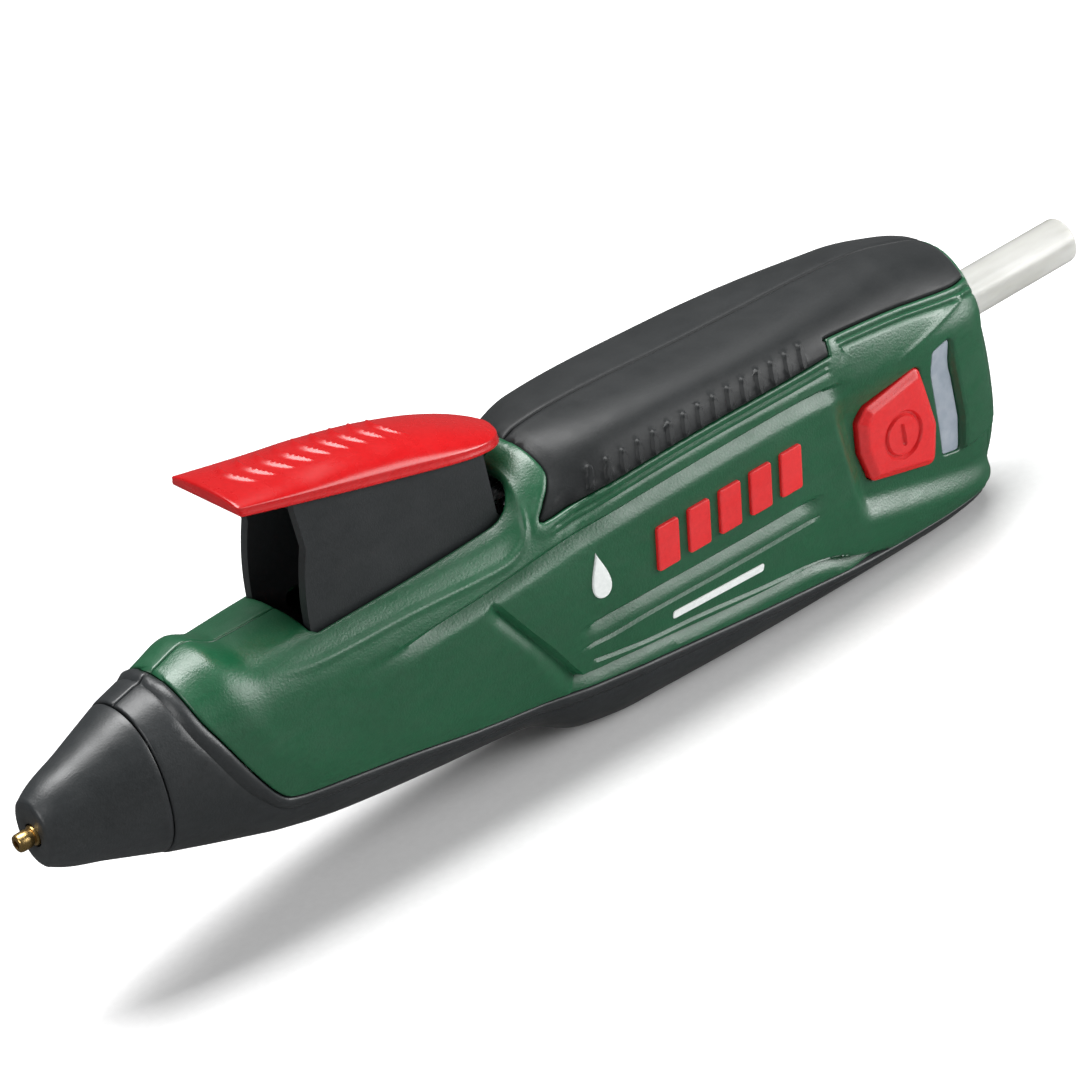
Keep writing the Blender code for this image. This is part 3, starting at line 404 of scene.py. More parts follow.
def made(name, mesh, look, nodes=(), body="housing", angle=40):
    """An object of this mesh, in place of these CAD nodes, riding on a body."""
    mesh.materials.clear()
    mesh.materials.append(look)
    mesh.shade_smooth()
    mesh.set_sharp_from_angle(angle=radians(angle))
    obj = placed(name, mesh)
    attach(obj, body)
    if nodes:
        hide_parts(*nodes)
    return obj


SKIN = Skin(BODY, 18.0, BODY_REAR)


def on_skin(points, pitch=0.4, closed=False):
    """Side-view points as a dense line on the skin, (x, arc)."""
    return SKIN.from_side(densified(points, pitch, closed))


def channel(line, x, a, depth, above, below, start, end):
    """A moulded channel: a steep wall above its bottom, a broad slope below, dying out at its ends."""
    u, place = near(line, x, a)
    shape = np.where(u < 0, np.clip(1 + u / above, 0, 1), np.clip(1 - u / below, 0, 1) ** 1.15)
    return -depth * shape * (eased(place / start) * eased((1 - place) / end))


def beside(line, offsets, pitch=0.45):
    """Rows of points along both sides of a line."""
    dense = densified(line, pitch)
    return [offset_line(dense, u) for u in offsets]


LINES = {name: on_skin(smooth_line(points), 0.5) for name, points in (
    ("top", TOP_CHANNEL), ("panel", PANEL_CHANNEL), ("panel_line", PANEL_LINE), ("middle", MIDDLE_CHANNEL),
    ("shoulder", SHOULDER), ("collar", COLLAR), ("crease", CREASE_LINE))}
GRIP_LINE = smooth_line(GRIP)
GRIP_FOOT = on_skin([q for q in GRIP_LINE if q[1] < 13.6 and q[0] > 82.0][2:])
GRIP_FRONT = on_skin([q for q in GRIP_LINE if q[0] < 86.8])
PARTING_LINE = smooth_line(PARTING)
PARTING_ARC = on_skin(PARTING_LINE, 0.5)


def pocket(x, z, lip=0.4):
    """How deep the control pocket is; lip is how much of it is filled to the right of the window."""
    from_left = (x - 132.0) + z * 0.12
    from_low = (z + 16.4) + (x - 134.1) * 0.284 + 0.3
    walls = eased(from_left / 3.4) * eased(from_low / 4.6)
    top = eased((6.5 - z - (x - 139.4) * 0.08) / 7.5)
    rim_x = np.interp(-z, [-8.0, -3.4, 3.5, 10.0, 15.5], [156.45, 156.45, 156.95, 157.15, 156.4])
    rim = np.clip((x - rim_x) / 0.35, 0, 1) * np.clip((z + 15.7) / 0.5, 0, 1)
    rear = eased((167.0 - x) / 3.0)
    return 1.9 * walls * top * (1 - lip * rim) * rear


def housing_shape(x, a, p, left):
    """How far the housing stands out from the plain surface."""
    out = channel(LINES["top"], x, a, 1.15, 0.6, 2.2, 0.2, 0.08)
    _, place = near(LINES["panel"], x, a)
    deeper = 1 + 0.45 * eased((place - 0.22) / 0.12)
    out = np.minimum(out, deeper * channel(LINES["panel"], x, a, 1.2, 0.55, 2.0, 0.05, 0.06))
    out = np.minimum(out, channel(LINES["panel_line"], x, a, 0.34, 0.3, 0.4, 0.03, 0.05))
    out = np.minimum(out, channel(LINES["middle"], x, a, 1.0, 0.5, 1.9, 0.12, 0.1))
    u, place = near(LINES["middle"], x, a)
    twin = 0.38 * np.clip(1 - np.abs(u - 2.75) / 0.38, 0, 1)
    out = out - twin * eased(place / 0.1) * eased((1 - place) / 0.1)
    u, place = near(GRIP_FOOT, x, a)
    ends = eased((1 - place) / 0.04) * eased((place - 0.03) / 0.03)
    fade = ends * eased((np.abs(x - 134.6) - 0.6) / 1.6)
    for distance, depth in ((1.15, 0.26), (2.05, 0.22)):
        out = out - depth * np.clip(1 - np.abs(u - distance) / 0.36, 0, 1) * fade
    u, place = near(LINES["shoulder"], x, a)
    out = out + 0.26 * np.exp(-(u / 0.55) ** 2) * eased(place / 0.2)
    out = out - 0.1 * eased(-u / 1.0) * eased((3.6 + u) / 1.6) * eased(place / 0.2) * (u < 0)
    u, place = near(LINES["collar"], x, a)
    out = out + 0.2 * np.exp(-(u / 2.3) ** 2) * eased((1 - place) / 0.6)
    u, place = near(GRIP_FRONT, x, a)
    out = out + 0.18 * np.exp(-((np.abs(u) - 0.9) / 0.7) ** 2)
    if left:
        out = out - pocket(x, p[:, 2])
        u, place = near(LINES["crease"], x, a)
        out = out + 0.16 * np.exp(-(u / 0.32) ** 2) * eased(place / 0.5)
    return out


def rolled(gap, radius, depth):
    """The fillet along an edge, as a drop below the surface."""
    t = np.clip(1 - gap / radius, 0, 1)
    return -depth * (1 - np.sqrt(np.maximum(0.0, 1 - t * t)))


def shell(outline, holes, extra, shape, thick, left, pitch=0.62, fillet=(0.4, 0.34),
          rows=(0.06, 0.16, 0.28, 0.42, 0.8)):
    """One half's moulding as a closed mesh: the outline on the skin, shaped, with rolled edges."""
    p, tris, loops = triangulated(outline, holes, extra, pitch, rows)
    x, a = p[:, 0], p[:, 1]
    base = SKIN.at(x, a)
    n = SKIN.normal(x, a)
    gap = distance_to(loops, p)
    out = shape(x, a, base) + rolled(gap, *fillet)
    outer = base + n * out[:, None]
    inner = base + n * (np.minimum(out, 0) - thick)[:, None]
    for points in (outer, inner):
        points[:, 1] = np.maximum(points[:, 1], SPLIT)
        if left:
            points[:, 1] *= -1
    return solid_of(outer, inner, tris, left)


def housing_outline():
    slot = [(SLOT_FRONT, SPLIT), (SLOT_FRONT, SLOT_HALF - 0.8), (SLOT_FRONT + 0.8, SLOT_HALF)]
    for k in range(9):
        angle = radians(90 * k / 8)
        slot.append((SLOT_REAR - SLOT_CORNER + SLOT_CORNER * sin(angle),
                     SLOT_HALF - SLOT_CORNER + SLOT_CORNER * cos(angle)))
    slot.append((SLOT_REAR, SPLIT))
    parting = offset_line(PARTING_LINE, SEAM)
    parting = parting[parting[:, 0] < 167.4]
    grip = offset_line(GRIP_LINE, -SEAM)
    first = parting[0][0]
    top = on_skin([(first, FAR), (SLOT_FRONT - 0.3, FAR)])
    opening = SKIN.from_top(densified(slot, 0.35))
    rest = on_skin([(SLOT_REAR + 0.3, FAR), (grip[0][0], FAR)])
    foot = on_skin(grip, 0.35)
    rear = on_skin([(grip[-1][0], FAR), (BODY_REAR, FAR)])
    length = SKIN.section(BODY_REAR)[2]
    end = densified([(BODY_REAR, SPLIT + 0.3), (BODY_REAR, length - SPLIT - 0.3)], 0.4)
    keel = on_skin([(BODY_REAR - 0.3, -FAR), (165.7, -FAR)])
    low = on_skin(parting[::-1])
    low = low[low[:, 0] < 165.5]
    return tidy_loop(np.concatenate([top, opening, rest, foot, rear, end, keel, low]))


def tidy_loop(loop, least=0.12):
    """The closed loop without points that almost coincide with the one before."""
    kept = [loop[0]]
    for q in loop[1:]:
        if np.linalg.norm(q - kept[-1]) > least:
            kept.append(q)
    if np.linalg.norm(kept[0] - kept[-1]) < least:
        kept.pop()
    return np.array(kept)


def lower_outline():
    parting = offset_line(PARTING_LINE, -SEAM)
    parting = parting[parting[:, 0] < 166.0]
    top = on_skin([(BODY_FRONT, FAR), (parting[0][0], FAR)])
    line = on_skin(parting)
    line = line[line[:, 0] < 164.8]
    keel = on_skin([(164.8, -FAR), (BODY_FRONT, -FAR)], 0.6)
    length = SKIN.section(BODY_FRONT)[2]
    front = densified([(BODY_FRONT, length - 0.4), (BODY_FRONT, 0.4)], 0.4)
    return tidy_loop(np.concatenate([top, line, keel, front]))


def grip_outline():
    line = on_skin(GRIP_LINE, 0.35)
    top = on_skin([(GRIP_LINE[-1][0], FAR), (GRIP_LINE[0][0], FAR)], 0.5)
    return tidy_loop(np.concatenate([line, top]))


def side_loop(outline, pitch=0.3):
    return tidy_loop(on_skin(outline, pitch, closed=True), 0.05)


def lower_shape(x, a, _):
    """A rolled lip along the parting line, with a fine groove under it."""
    u, _ = near(PARTING_ARC, x, a)
    lip = 0.3 * np.exp(-((np.abs(u) - 0.95) / 0.55) ** 2)
    groove = 0.22 * np.clip(1 - np.abs(np.abs(u) - 2.1) / 0.4, 0, 1)
    return (lip - groove) * eased((150 - x) / 20.0)


RIBS = [(91.0 + 2.75 * k, 13.0 + 0.35 * sin(k / 15 * pi)) for k in range(15)]
RIB_HALF, RIB_COS, RIB_SIN = 1.15, 0.94, 0.34


def grip_shape(x, a, p):
    """A bevelled front edge, and a row of small slanted ribs low on the side."""
    u, _ = near(GRIP_FRONT, x, a)
    out = -0.5 * eased(1 - np.abs(u) / 2.4)
    z = p[:, 2]
    for cx, cz in RIBS:
        along = (z - cz) * RIB_COS + (x - cx) * RIB_SIN
        across = (x - cx) * RIB_COS - (z - cz) * RIB_SIN
        distance = np.hypot(across, np.maximum(0, np.abs(along) - RIB_HALF))
        out = np.maximum(out, out + 0.45 * eased((0.62 - distance) / 0.3))
    return out


def rib_points():
    """Rings of points round each rib of the grip, so that its flanks have their own faces."""
    rows = []
    for cx, cz in RIBS:
        for radius in (0.18, 0.34, 0.5, 0.66):
            for k in range(22):
                angle = 2 * pi * k / 22
                along, across = radius * sin(angle), radius * cos(angle)
                along += copysign(RIB_HALF, along) * min(1.0, abs(sin(angle)) * 1.6)
                rows.append((cx + across * RIB_COS + along * RIB_SIN,
                             cz - across * RIB_SIN + along * RIB_COS))
    return SKIN.from_side(rows)


def screw_hole(x, z, count=40):
    centre = SKIN.from_side([(x, z)])[0]
    radius = WELL_BORE
    angle = full_turn(count)
    return np.stack([centre[0] + radius * np.cos(angle), centre[1] + radius * np.sin(angle)], 1)


# Materials.

def shader_of(name, colour, roughness, metallic=0.0):
    made_of = bpy.data.materials.new(name)
    made_of.use_nodes = True
    tree = made_of.node_tree
    shader = tree.nodes["Principled BSDF"]
    set_values(shader, {"Base Color": (*colour, 1.0), "Roughness": roughness, "Metallic": metallic})
    return made_of, tree, shader


def set_values(node, values):
    for socket, value in values.items():
        node.inputs[socket].default_value = value


def noise(tree, scale, detail=2.0, stretch=(1, 1, 1)):
    """Noise in object space: scale is in cells per metre."""
    place = tree.nodes.new("ShaderNodeTexCoord")
    mapping = tree.nodes.new("ShaderNodeMapping")
    set_values(mapping, {"Scale": stretch})
    texture = tree.nodes.new("ShaderNodeTexNoise")
    set_values(texture, {"Scale": scale, "Detail": detail})
    tree.links.new(place.outputs["Object"], mapping.inputs["Vector"])
    tree.links.new(mapping.outputs["Vector"], texture.inputs["Vector"])
    return texture.outputs["Fac"]


def ramp(tree, source, low, high, start=0.3, end=0.7):
    """Source mapped from start..end to a number or colour from low to high."""
    if isinstance(low, tuple):
        node = tree.nodes.new("ShaderNodeValToRGB")
        first, last = node.color_ramp.elements
        first.position, last.position = start, end
        first.color, last.color = (*low, 1.0), (*high, 1.0)
        tree.links.new(source, node.inputs["Fac"])
        return node.outputs["Color"]
    node = tree.nodes.new("ShaderNodeMapRange")
    set_values(node, {"From Min": start, "From Max": end, "To Min": low, "To Max": high})
    tree.links.new(source, node.inputs["Value"])
    return node.outputs["Result"]


def bumped(tree, shader, layers):
    """Bumps on top of one another: (height source, strength, distance in metres)."""
    last = None
    for source, strength, distance in layers:
        node = tree.nodes.new("ShaderNodeBump")
        set_values(node, {"Strength": strength, "Distance": distance})
        tree.links.new(source, node.inputs["Height"])
        if last:
            tree.links.new(last, node.inputs["Normal"])
        last = node.outputs["Normal"]
    tree.links.new(last, shader.inputs["Normal"])


def moulded(name, colour, light, roughness, grain=0.5, grain_scale=4200.0, coat=0.0, sheen=0.0, shine=0.5):
    """Moulded plastic: fine spark-eroded grain, slow colour drift, and faint handling marks in the gloss."""
    made_of, tree, shader = shader_of(name, colour, roughness)
    drift = noise(tree, 60.0, 3.0)
    fine = noise(tree, grain_scale, 2.0)
    mottle = noise(tree, grain_scale * 0.5, 3.0)
    mix = tree.nodes.new("ShaderNodeMix")
    mix.data_type = "RGBA"
    set_values(mix, {"Factor": 0.5})
    tree.links.new(ramp(tree, drift, colour, light, 0.35, 0.75), mix.inputs["A"])
    tree.links.new(ramp(tree, mottle, tuple(c * 0.9 for c in colour), light, 0.25, 0.8), mix.inputs["B"])
    tree.links.new(mix.outputs["Result"], shader.inputs["Base Color"])
    marks = noise(tree, 240.0, 5.0, (1.0, 1.0, 3.0))
    tree.links.new(ramp(tree, marks, roughness - 0.04, roughness + 0.07), shader.inputs["Roughness"])
    bumped(tree, shader, [(fine, grain, 0.00006), (marks, 0.05, 0.00008)])
    set_values(shader, {"Coat Weight": coat, "Coat Roughness": 0.25, "Specular IOR Level": shine,
                        "Sheen Weight": sheen})
    return made_of


def metal(name, colour, dark, roughness, stretch=(1, 1, 1), scale=1500.0):
    """Turned or drawn metal: fine tool lines and a slow tarnish."""
    made_of, tree, shader = shader_of(name, colour, roughness, 1.0)
    tarnish = noise(tree, 350.0, 4.0)
    tree.links.new(ramp(tree, tarnish, dark, colour, 0.3, 0.65), shader.inputs["Base Color"])
    lines = noise(tree, scale, 3.0, stretch)
    tree.links.new(ramp(tree, lines, roughness - 0.08, roughness + 0.12), shader.inputs["Roughness"])
    bumped(tree, shader, [(lines, 0.25, 0.00003)])
    return made_of


GREEN = moulded("green_abs", (0.004, 0.066, 0.025), (0.008, 0.094, 0.038), 0.36, 0.6, 3000.0, shine=0.85)
BLACK = moulded("black_abs", (0.014, 0.0165, 0.0175), (0.026, 0.029, 0.031), 0.38, 0.4, 3600.0, shine=0.6)
SOFT = moulded("soft_black", (0.009, 0.0105, 0.011), (0.016, 0.018, 0.019), 0.46, 0.25, 5200.0,
               sheen=0.03, shine=0.32)
RED = moulded("red_abs", (0.39, 0.002, 0.003), (0.48, 0.004, 0.006), 0.26, 0.08, 3000.0,
              coat=0.3, shine=0.4)
RED_GRAINED = moulded("red_abs_grained", (0.52, 0.005, 0.007), (0.64, 0.012, 0.014), 0.36, 0.4, 4200.0)
PALE = moulded("pale_print", (0.55, 0.58, 0.57), (0.68, 0.70, 0.69), 0.45, 0.2)
BRASS = metal("brass", (0.72, 0.50, 0.20), (0.42, 0.26, 0.09), 0.28, (14.0, 1.0, 1.0))
STEEL = metal("steel", (0.56, 0.57, 0.58), (0.36, 0.36, 0.37), 0.3, (1.0, 9.0, 1.0))
ALUMINIUM = metal("aluminium", (0.72, 0.73, 0.74), (0.5, 0.5, 0.52), 0.42, (6.0, 1.0, 1.0))
NICKEL = metal("nickel", (0.70, 0.68, 0.63), (0.5, 0.48, 0.44), 0.28)
CERAMIC = moulded("ceramic", (0.78, 0.76, 0.70), (0.88, 0.86, 0.82), 0.65, 0.5, 2600.0)
SILICONE = moulded("silicone", (0.62, 0.2, 0.12), (0.75, 0.3, 0.2), 0.55, 0.2)
CELL_WRAP = moulded("cell_wrap", (0.03, 0.12, 0.38), (0.06, 0.18, 0.5), 0.3, 0.1, 1500.0, coat=0.3)
BOARD = moulded("board_green", (0.008, 0.12, 0.05), (0.02, 0.2, 0.08), 0.32, 0.3, 1800.0, coat=0.4)
LED = moulded("led_white", (0.82, 0.82, 0.7), (0.92, 0.92, 0.84), 0.3, 0.1)
WIRE_BLACK = moulded("wire_black", (0.012, 0.012, 0.012), (0.03, 0.03, 0.03), 0.45, 0.2)
WIRE_RED = moulded("wire_red", (0.5, 0.01, 0.01), (0.62, 0.02, 0.02), 0.45, 0.2)


def make_lens():
    made_of, tree, shader = shader_of("grey_lens", (0.42, 0.46, 0.50), 0.22)
    haze = noise(tree, 500.0, 3.0)
    tree.links.new(ramp(tree, haze, (0.20, 0.235, 0.275), (0.27, 0.305, 0.345)), shader.inputs["Base Color"])
    bumped(tree, shader, [(noise(tree, 90.0, 1.0), 0.1, 0.0004)])
    set_values(shader, {"Coat Weight": 0.5, "Coat Roughness": 0.06})
    return made_of


def make_glue():
    """Milky hot-melt glue: light goes through it and scatters inside."""
    made_of, tree, shader = shader_of("clear_glue", (0.93, 0.93, 0.90), 0.22)
    cloud = noise(tree, 260.0, 3.0, (0.3, 1.0, 1.0))
    tree.links.new(ramp(tree, cloud, (0.44, 0.44, 0.41), (0.55, 0.55, 0.53)), shader.inputs["Base Color"])
    bumped(tree, shader, [(noise(tree, 420.0, 2.0, (0.25, 1.0, 1.0)), 0.2, 0.0002)])
    set_values(shader, {"Transmission Weight": 0.25, "IOR": 1.45, "Subsurface Weight": 0.5,
                        "Subsurface Radius": (1.0, 1.0, 0.9), "Subsurface Scale": 0.003})
    return made_of


LENS = make_lens()
GLUE = make_glue()


# Solids made in code.

def loft(rings, hollow=False):
    """A mesh through closed rings of points; the last ring of a hollow one meets its first."""
    count = len(rings[0])
    points = np.concatenate(rings)
    faces = []
    pairs = [(k, k + 1) for k in range(len(rings) - 1)]
    if hollow:
        pairs.append((len(rings) - 1, 0))
    for a, b in pairs:
        for k in range(count):
            j = (k + 1) % count
            faces.append((a * count + k, a * count + j, b * count + j, b * count + k))
    if not hollow:
        faces.append(tuple(range(count))[::-1])
        faces.append(tuple((len(rings) - 1) * count + k for k in range(count)))
    mesh = bpy.data.meshes.new("made")
    mesh.from_pydata([tuple(v) for v in to_world(points)], [], faces)
    bm = bmesh.new()
    bm.from_mesh(mesh)
    bmesh.ops.recalc_face_normals(bm, faces=bm.faces)
    bm.to_mesh(mesh)
    bm.free()
    return mesh


AXES = {"X": ((1, 0, 0), (0, 1, 0), (0, 0, 1)), "Y": ((0, 1, 0), (0, 0, 1), (1, 0, 0))}


def turned(profile, axis, centre, segments=64):
    """A closed profile of (distance, radius) turned round an axis through centre."""
    along, across, third = (np.array(v, float) for v in AXES[axis])
    angle = full_turn(segments)
    spokes = np.outer(np.cos(angle), across) + np.outer(np.sin(angle), third)
    return loft([np.array(centre) + along * d + r * spokes for d, r in profile], True)


def rod(front, rear, radius, axis="X", centre=(0, 0, 0), segments=64):
    """A closed cylinder."""
    return turned([(front, THIN), (front, radius), (rear, radius), (rear, THIN)], axis, centre, segments)


def prism(outline, low_y, high_y):
    p = np.array(outline, float)
    return loft([np.stack([p[:, 0], np.full(len(p), y), p[:, 1]], 1) for y in (low_y, high_y)])


def box(low, high):
    (x0, y0, z0), (x1, y1, z1) = low, high
    return prism([(x0, z0), (x1, z0), (x1, z1), (x0, z1)], y0, y1)


def cut(obj, *meshes):
    """Takes these meshes out of an object."""
    for mesh in meshes:
        helper = placed("helper", mesh)
        modifier = obj.modifiers.new("cut", "BOOLEAN")
        modifier.operation, modifier.object, modifier.solver = "DIFFERENCE", helper, "EXACT"
        bpy.context.view_layer.update()
        graph = bpy.context.evaluated_depsgraph_get()
        result = bpy.data.meshes.new_from_object(obj.evaluated_get(graph))
        obj.modifiers.clear()
        obj.data = result
        bpy.data.objects.remove(helper)
    obj.data.shade_smooth()
    obj.data.set_sharp_from_angle(angle=radians(35))


def bevelled(obj, width, segments=3):
    modifier = obj.modifiers.new("edge", "BEVEL")
    modifier.width, modifier.segments, modifier.limit_method = width * MM, segments, "ANGLE"
    modifier.angle_limit = radians(40)
    modifier.harden_normals = True


# Housing, lower shell and grip.

def cut_rear(obj):
    """The stick's inlet and the mouth of the charging socket."""
    cut(obj, rod(INLET_FRONT, 180.0, INLET_RADIUS),
        box((SOCKET_FRONT, -SOCKET_HALF, SOCKET_LOW), (180.0, SOCKET_HALF, SOCKET_TOP)))


def both_sides(*offsets):
    return (*offsets, *(-u for u in offsets))


def make_shells():
    for left, word in ((True, "left"), (False, "right")):
        holes, lower_holes = [], []
        extra = [q for name in ("top", "panel", "middle") for q in
                 beside(LINES[name], (-0.66, -0.36, -0.1, 0.12, 0.6, 1.2, 1.8, 2.3))]
        extra += beside(LINES["panel_line"], (-0.34, 0.0, 0.42)) + beside(LINES["middle"], (2.37, 2.75, 3.13))
        extra += beside(GRIP_FOOT, (0.8, 1.15, 1.5, 1.7, 2.05, 2.4), 0.4)
        extra += beside(LINES["shoulder"], (-1.1, -0.7, -0.35, 0.0, 0.35, 0.7, 1.1), 0.5)
        if left:
            holes = [side_loop(rounded(BUTTON, BUTTON_CORNER, 8, SEAM)),
                     side_loop(rounded(WINDOW, WINDOW_CORNER, 5, SEAM))]
            grid = [(x, z) for x in np.arange(130.5, 165.0, 0.36) for z in np.arange(-24.0, 7.0, 0.36)]
            extra.append(SKIN.from_side(grid))
            extra += beside(LINES["crease"], (-0.35, 0.0, 0.35), 0.4)
        else:
            first, *holes = [screw_hole(x, z) for x, z in SCREWS]
            lower_holes = [first]
        mesh = shell(housing_outline(), holes, extra, lambda x, a, p: housing_shape(x, a, p, left),
                     HOUSING_WALL, left)
        housing = made("housing_shell_" + word, mesh, GREEN, ["housing_" + word])
        cut_rear(housing)
        extra = beside(PARTING_ARC, both_sides(0.5, 0.95, 1.4, 1.7, 2.1, 2.5), 0.5)
        mesh = shell(lower_outline(), lower_holes, extra, lower_shape, LOWER_WALL, left, 0.75)
        made("lower_skin_" + word, mesh, BLACK, ["lower_shell_" + word])
        extra = [rib_points()] + beside(GRIP_FRONT, both_sides(0.5, 1.0, 1.6, 2.2), 0.5)
        mesh = shell(grip_outline(), [], extra, grip_shape, GRIP_WALL, left, 0.7, (0.6, 0.5))
        made("grip_skin_" + word, mesh, SOFT, ["grip_" + word])


def make_wells():
    """Sleeves round the screws of the right side; the first is in the lower shell."""
    for n, (x, z) in enumerate(SCREWS, 1):
        top = float(SKIN.at(x, SKIN.from_side([(x, z)])[0][1])[1]) - 1.2
        profile = [(WELL_BOTTOM, 1.5), (WELL_BOTTOM, WELL_RADIUS), (top, WELL_RADIUS), (top, WELL_BORE),
                   (WELL_BOTTOM + 0.4, WELL_BORE), (WELL_BOTTOM + 0.4, 1.5)]
        look, slot = (BLACK, "black_abs") if n == 1 else (GREEN, "green_abs")
        made(f"screw_well_{n}", turned(profile, "Y", (x, 0, z), 40), look)


def make_rear_face(left):
    """The small flat end of one housing half."""
    ys, zs, _ = SKIN.section(BODY_REAR)
    keep = ys > SPLIT
    side = np.stack([ys[keep], zs[keep]], 1)[::6] * (0.97, 1.0)
    outline = np.concatenate([[(SPLIT, side[0][1] - 0.1)], side, [(SPLIT, side[-1][1] + 0.1)]])
    front = np.stack([np.full(len(outline), BODY_REAR - 1.6), outline[:, 0], outline[:, 1]], 1)
    back = front + (1.56, 0, 0)
    if left:
        front[:, 1] *= -1
        back[:, 1] *= -1
    word = "left" if left else "right"
    plate = made("housing_end_" + word, loft([front, back]), GREEN)
    cut_rear(plate)


# Nose.

def cone_ring(x, inset=0.0, at=None, count=120):
    """The cone's section at x, drawn in by inset, and put at another place when one is given."""
    top, bottom, mid, half, n_up, n_low = table_at(CONE, x)
    top, bottom, half = top - inset, bottom + inset, half - inset
    ring = []
    for k in range(count):
        angle = 2 * pi * k / count
        c, s = cos(angle), sin(angle)
        n = n_up if c >= 0 else n_low
        radius = (abs(c) ** n + abs(s) ** n) ** (-1 / n)
        reach = top - mid if c >= 0 else mid - bottom
        ring.append((x if at is None else at, half * radius * s, mid + reach * radius * c))
    return np.array(ring)


def circle_ring(x, radius, count=120):
    angle = full_turn(count)
    return np.stack([np.full(count, x), radius * np.sin(angle), radius * np.cos(angle)], 1)


def make_nose():
    rear = BODY_FRONT - 0.1
    rings = [cone_ring(rear - 0.02, 0.3), cone_ring(rear - 0.1, 0.1), cone_ring(rear - 0.3, 0.0)]
    rings += [cone_ring(x) for x in np.arange(rear - 0.9, 3.4, -0.6)]
    rings += [cone_ring(3.2, inset, at) for inset, at in ((0.0, 3.2), (0.12, 2.95), (0.4, 2.75), (0.9, 2.62))]
    rings += [circle_ring(x, radius) for x, radius in ((2.6, 1.95), (2.7, 1.72), (3.4, 1.7), (5.0, 1.7))]
    rings += [cone_ring(x, 1.6) for x in (5.4, 9.0, 13.0, rear - 0.02)]
    made("nose_cap", loft(rings, hollow=True), BLACK, ["nose_cone"])
    profile = [(0.0, 0.6), (0.0, 1.0), (0.07, 1.13), (0.2, 1.22), (0.45, 1.3), (1.75, 1.3), (1.95, 1.26),
               (2.05, 1.1), (2.35, 1.1), (2.45, 1.38), (2.6, 1.45), (5.4, 1.45), (7.0, 2.6), (8.7, 2.6),
               (8.7, 1.6), (6.0, 0.6), (0.5, 0.55)]
    made("nozzle_tip", turned(profile, "X", (0, 0, 0), 72), BRASS, ["nozzle"])


# Trigger.

def cap_half_width(x):
    rear = max(0.0, (x - 68.0) / (CAP_REAR - 68.0))
    return (CAP_HALF - 0.6 * max(0.0, 1 - (x - CAP_FRONT) / 25) ** 2) * max(0.0, 1 - rear ** 3.2) ** (1 / 2.2)


def cap_edge_z(x):
    return CAP_FRONT_Z - CAP_FALL * (x - CAP_FRONT)


CAP_RIBS = [44.0 + 3.0 * k for k in range(9)]
CAP_RIM = ((0.85, 0.02), (0.6, 0.05), (0.4, 0.16), (0.2, 0.2), (0.05, 0.1))


def cap_relief(x, y):
    """The crescent ribs over the crown."""
    total = 0.0
    for x0 in CAP_RIBS:
        centre = x0 + 0.085 * (y - 1.2) ** 2
        along = 1 - ((y - 1.0) / 4.4) ** 2
        if along <= 0:
            continue
        u = x - centre
        width = 0.95 * sqrt(along) + 0.05
        if -width < u < 0.45:
            rise = (u + width) / width if u < 0 else 1 - u / 0.45
            total = max(total, 0.46 * along ** 0.5 * (rise * rise * (3 - 2 * rise)))
    return total


def cap_ring(x, shrink=0.0, at=None):
    """A closed section of the cap: over the top from left to right, then back under it."""
    place = x if at is None else at
    half = max(0.02, cap_half_width(x) - shrink)
    edge = cap_edge_z(place)
    crown = max(float(table_at(CAP_CROWN, x)[0]) - shrink, 1.3)
    ring = []
    for k in range(97):
        s = -cos(pi * k / 96)
        s = s * (0.6 + 0.4 * abs(s))
        arch = max(0.0, 1 - abs(s) ** 2.5) ** 0.62
        z = edge + 1.25 + (crown - 1.25) * arch
        y = half * s
        z += cap_relief(place, y) * (0 if shrink else 1)
        ring.append((place, y, z))
    for t, out in CAP_RIM:
        ring.append((place, half + out, edge + 1.25 * t + shrink * 0.5))
    for k in range(17):
        s = 1 - 2 * k / 16
        arch = max(0.0, 1 - abs(s) ** 2.4) ** 0.5
        z = edge - 0.02 + shrink * 0.8 + max(0.0, crown - 2.0 - shrink) * arch
        ring.append((place, (half - 0.12) * s, z))
    for t, out in CAP_RIM[::-1]:
        ring.append((place, -half - out, edge + 1.25 * t + shrink * 0.5))
    return np.array(ring)


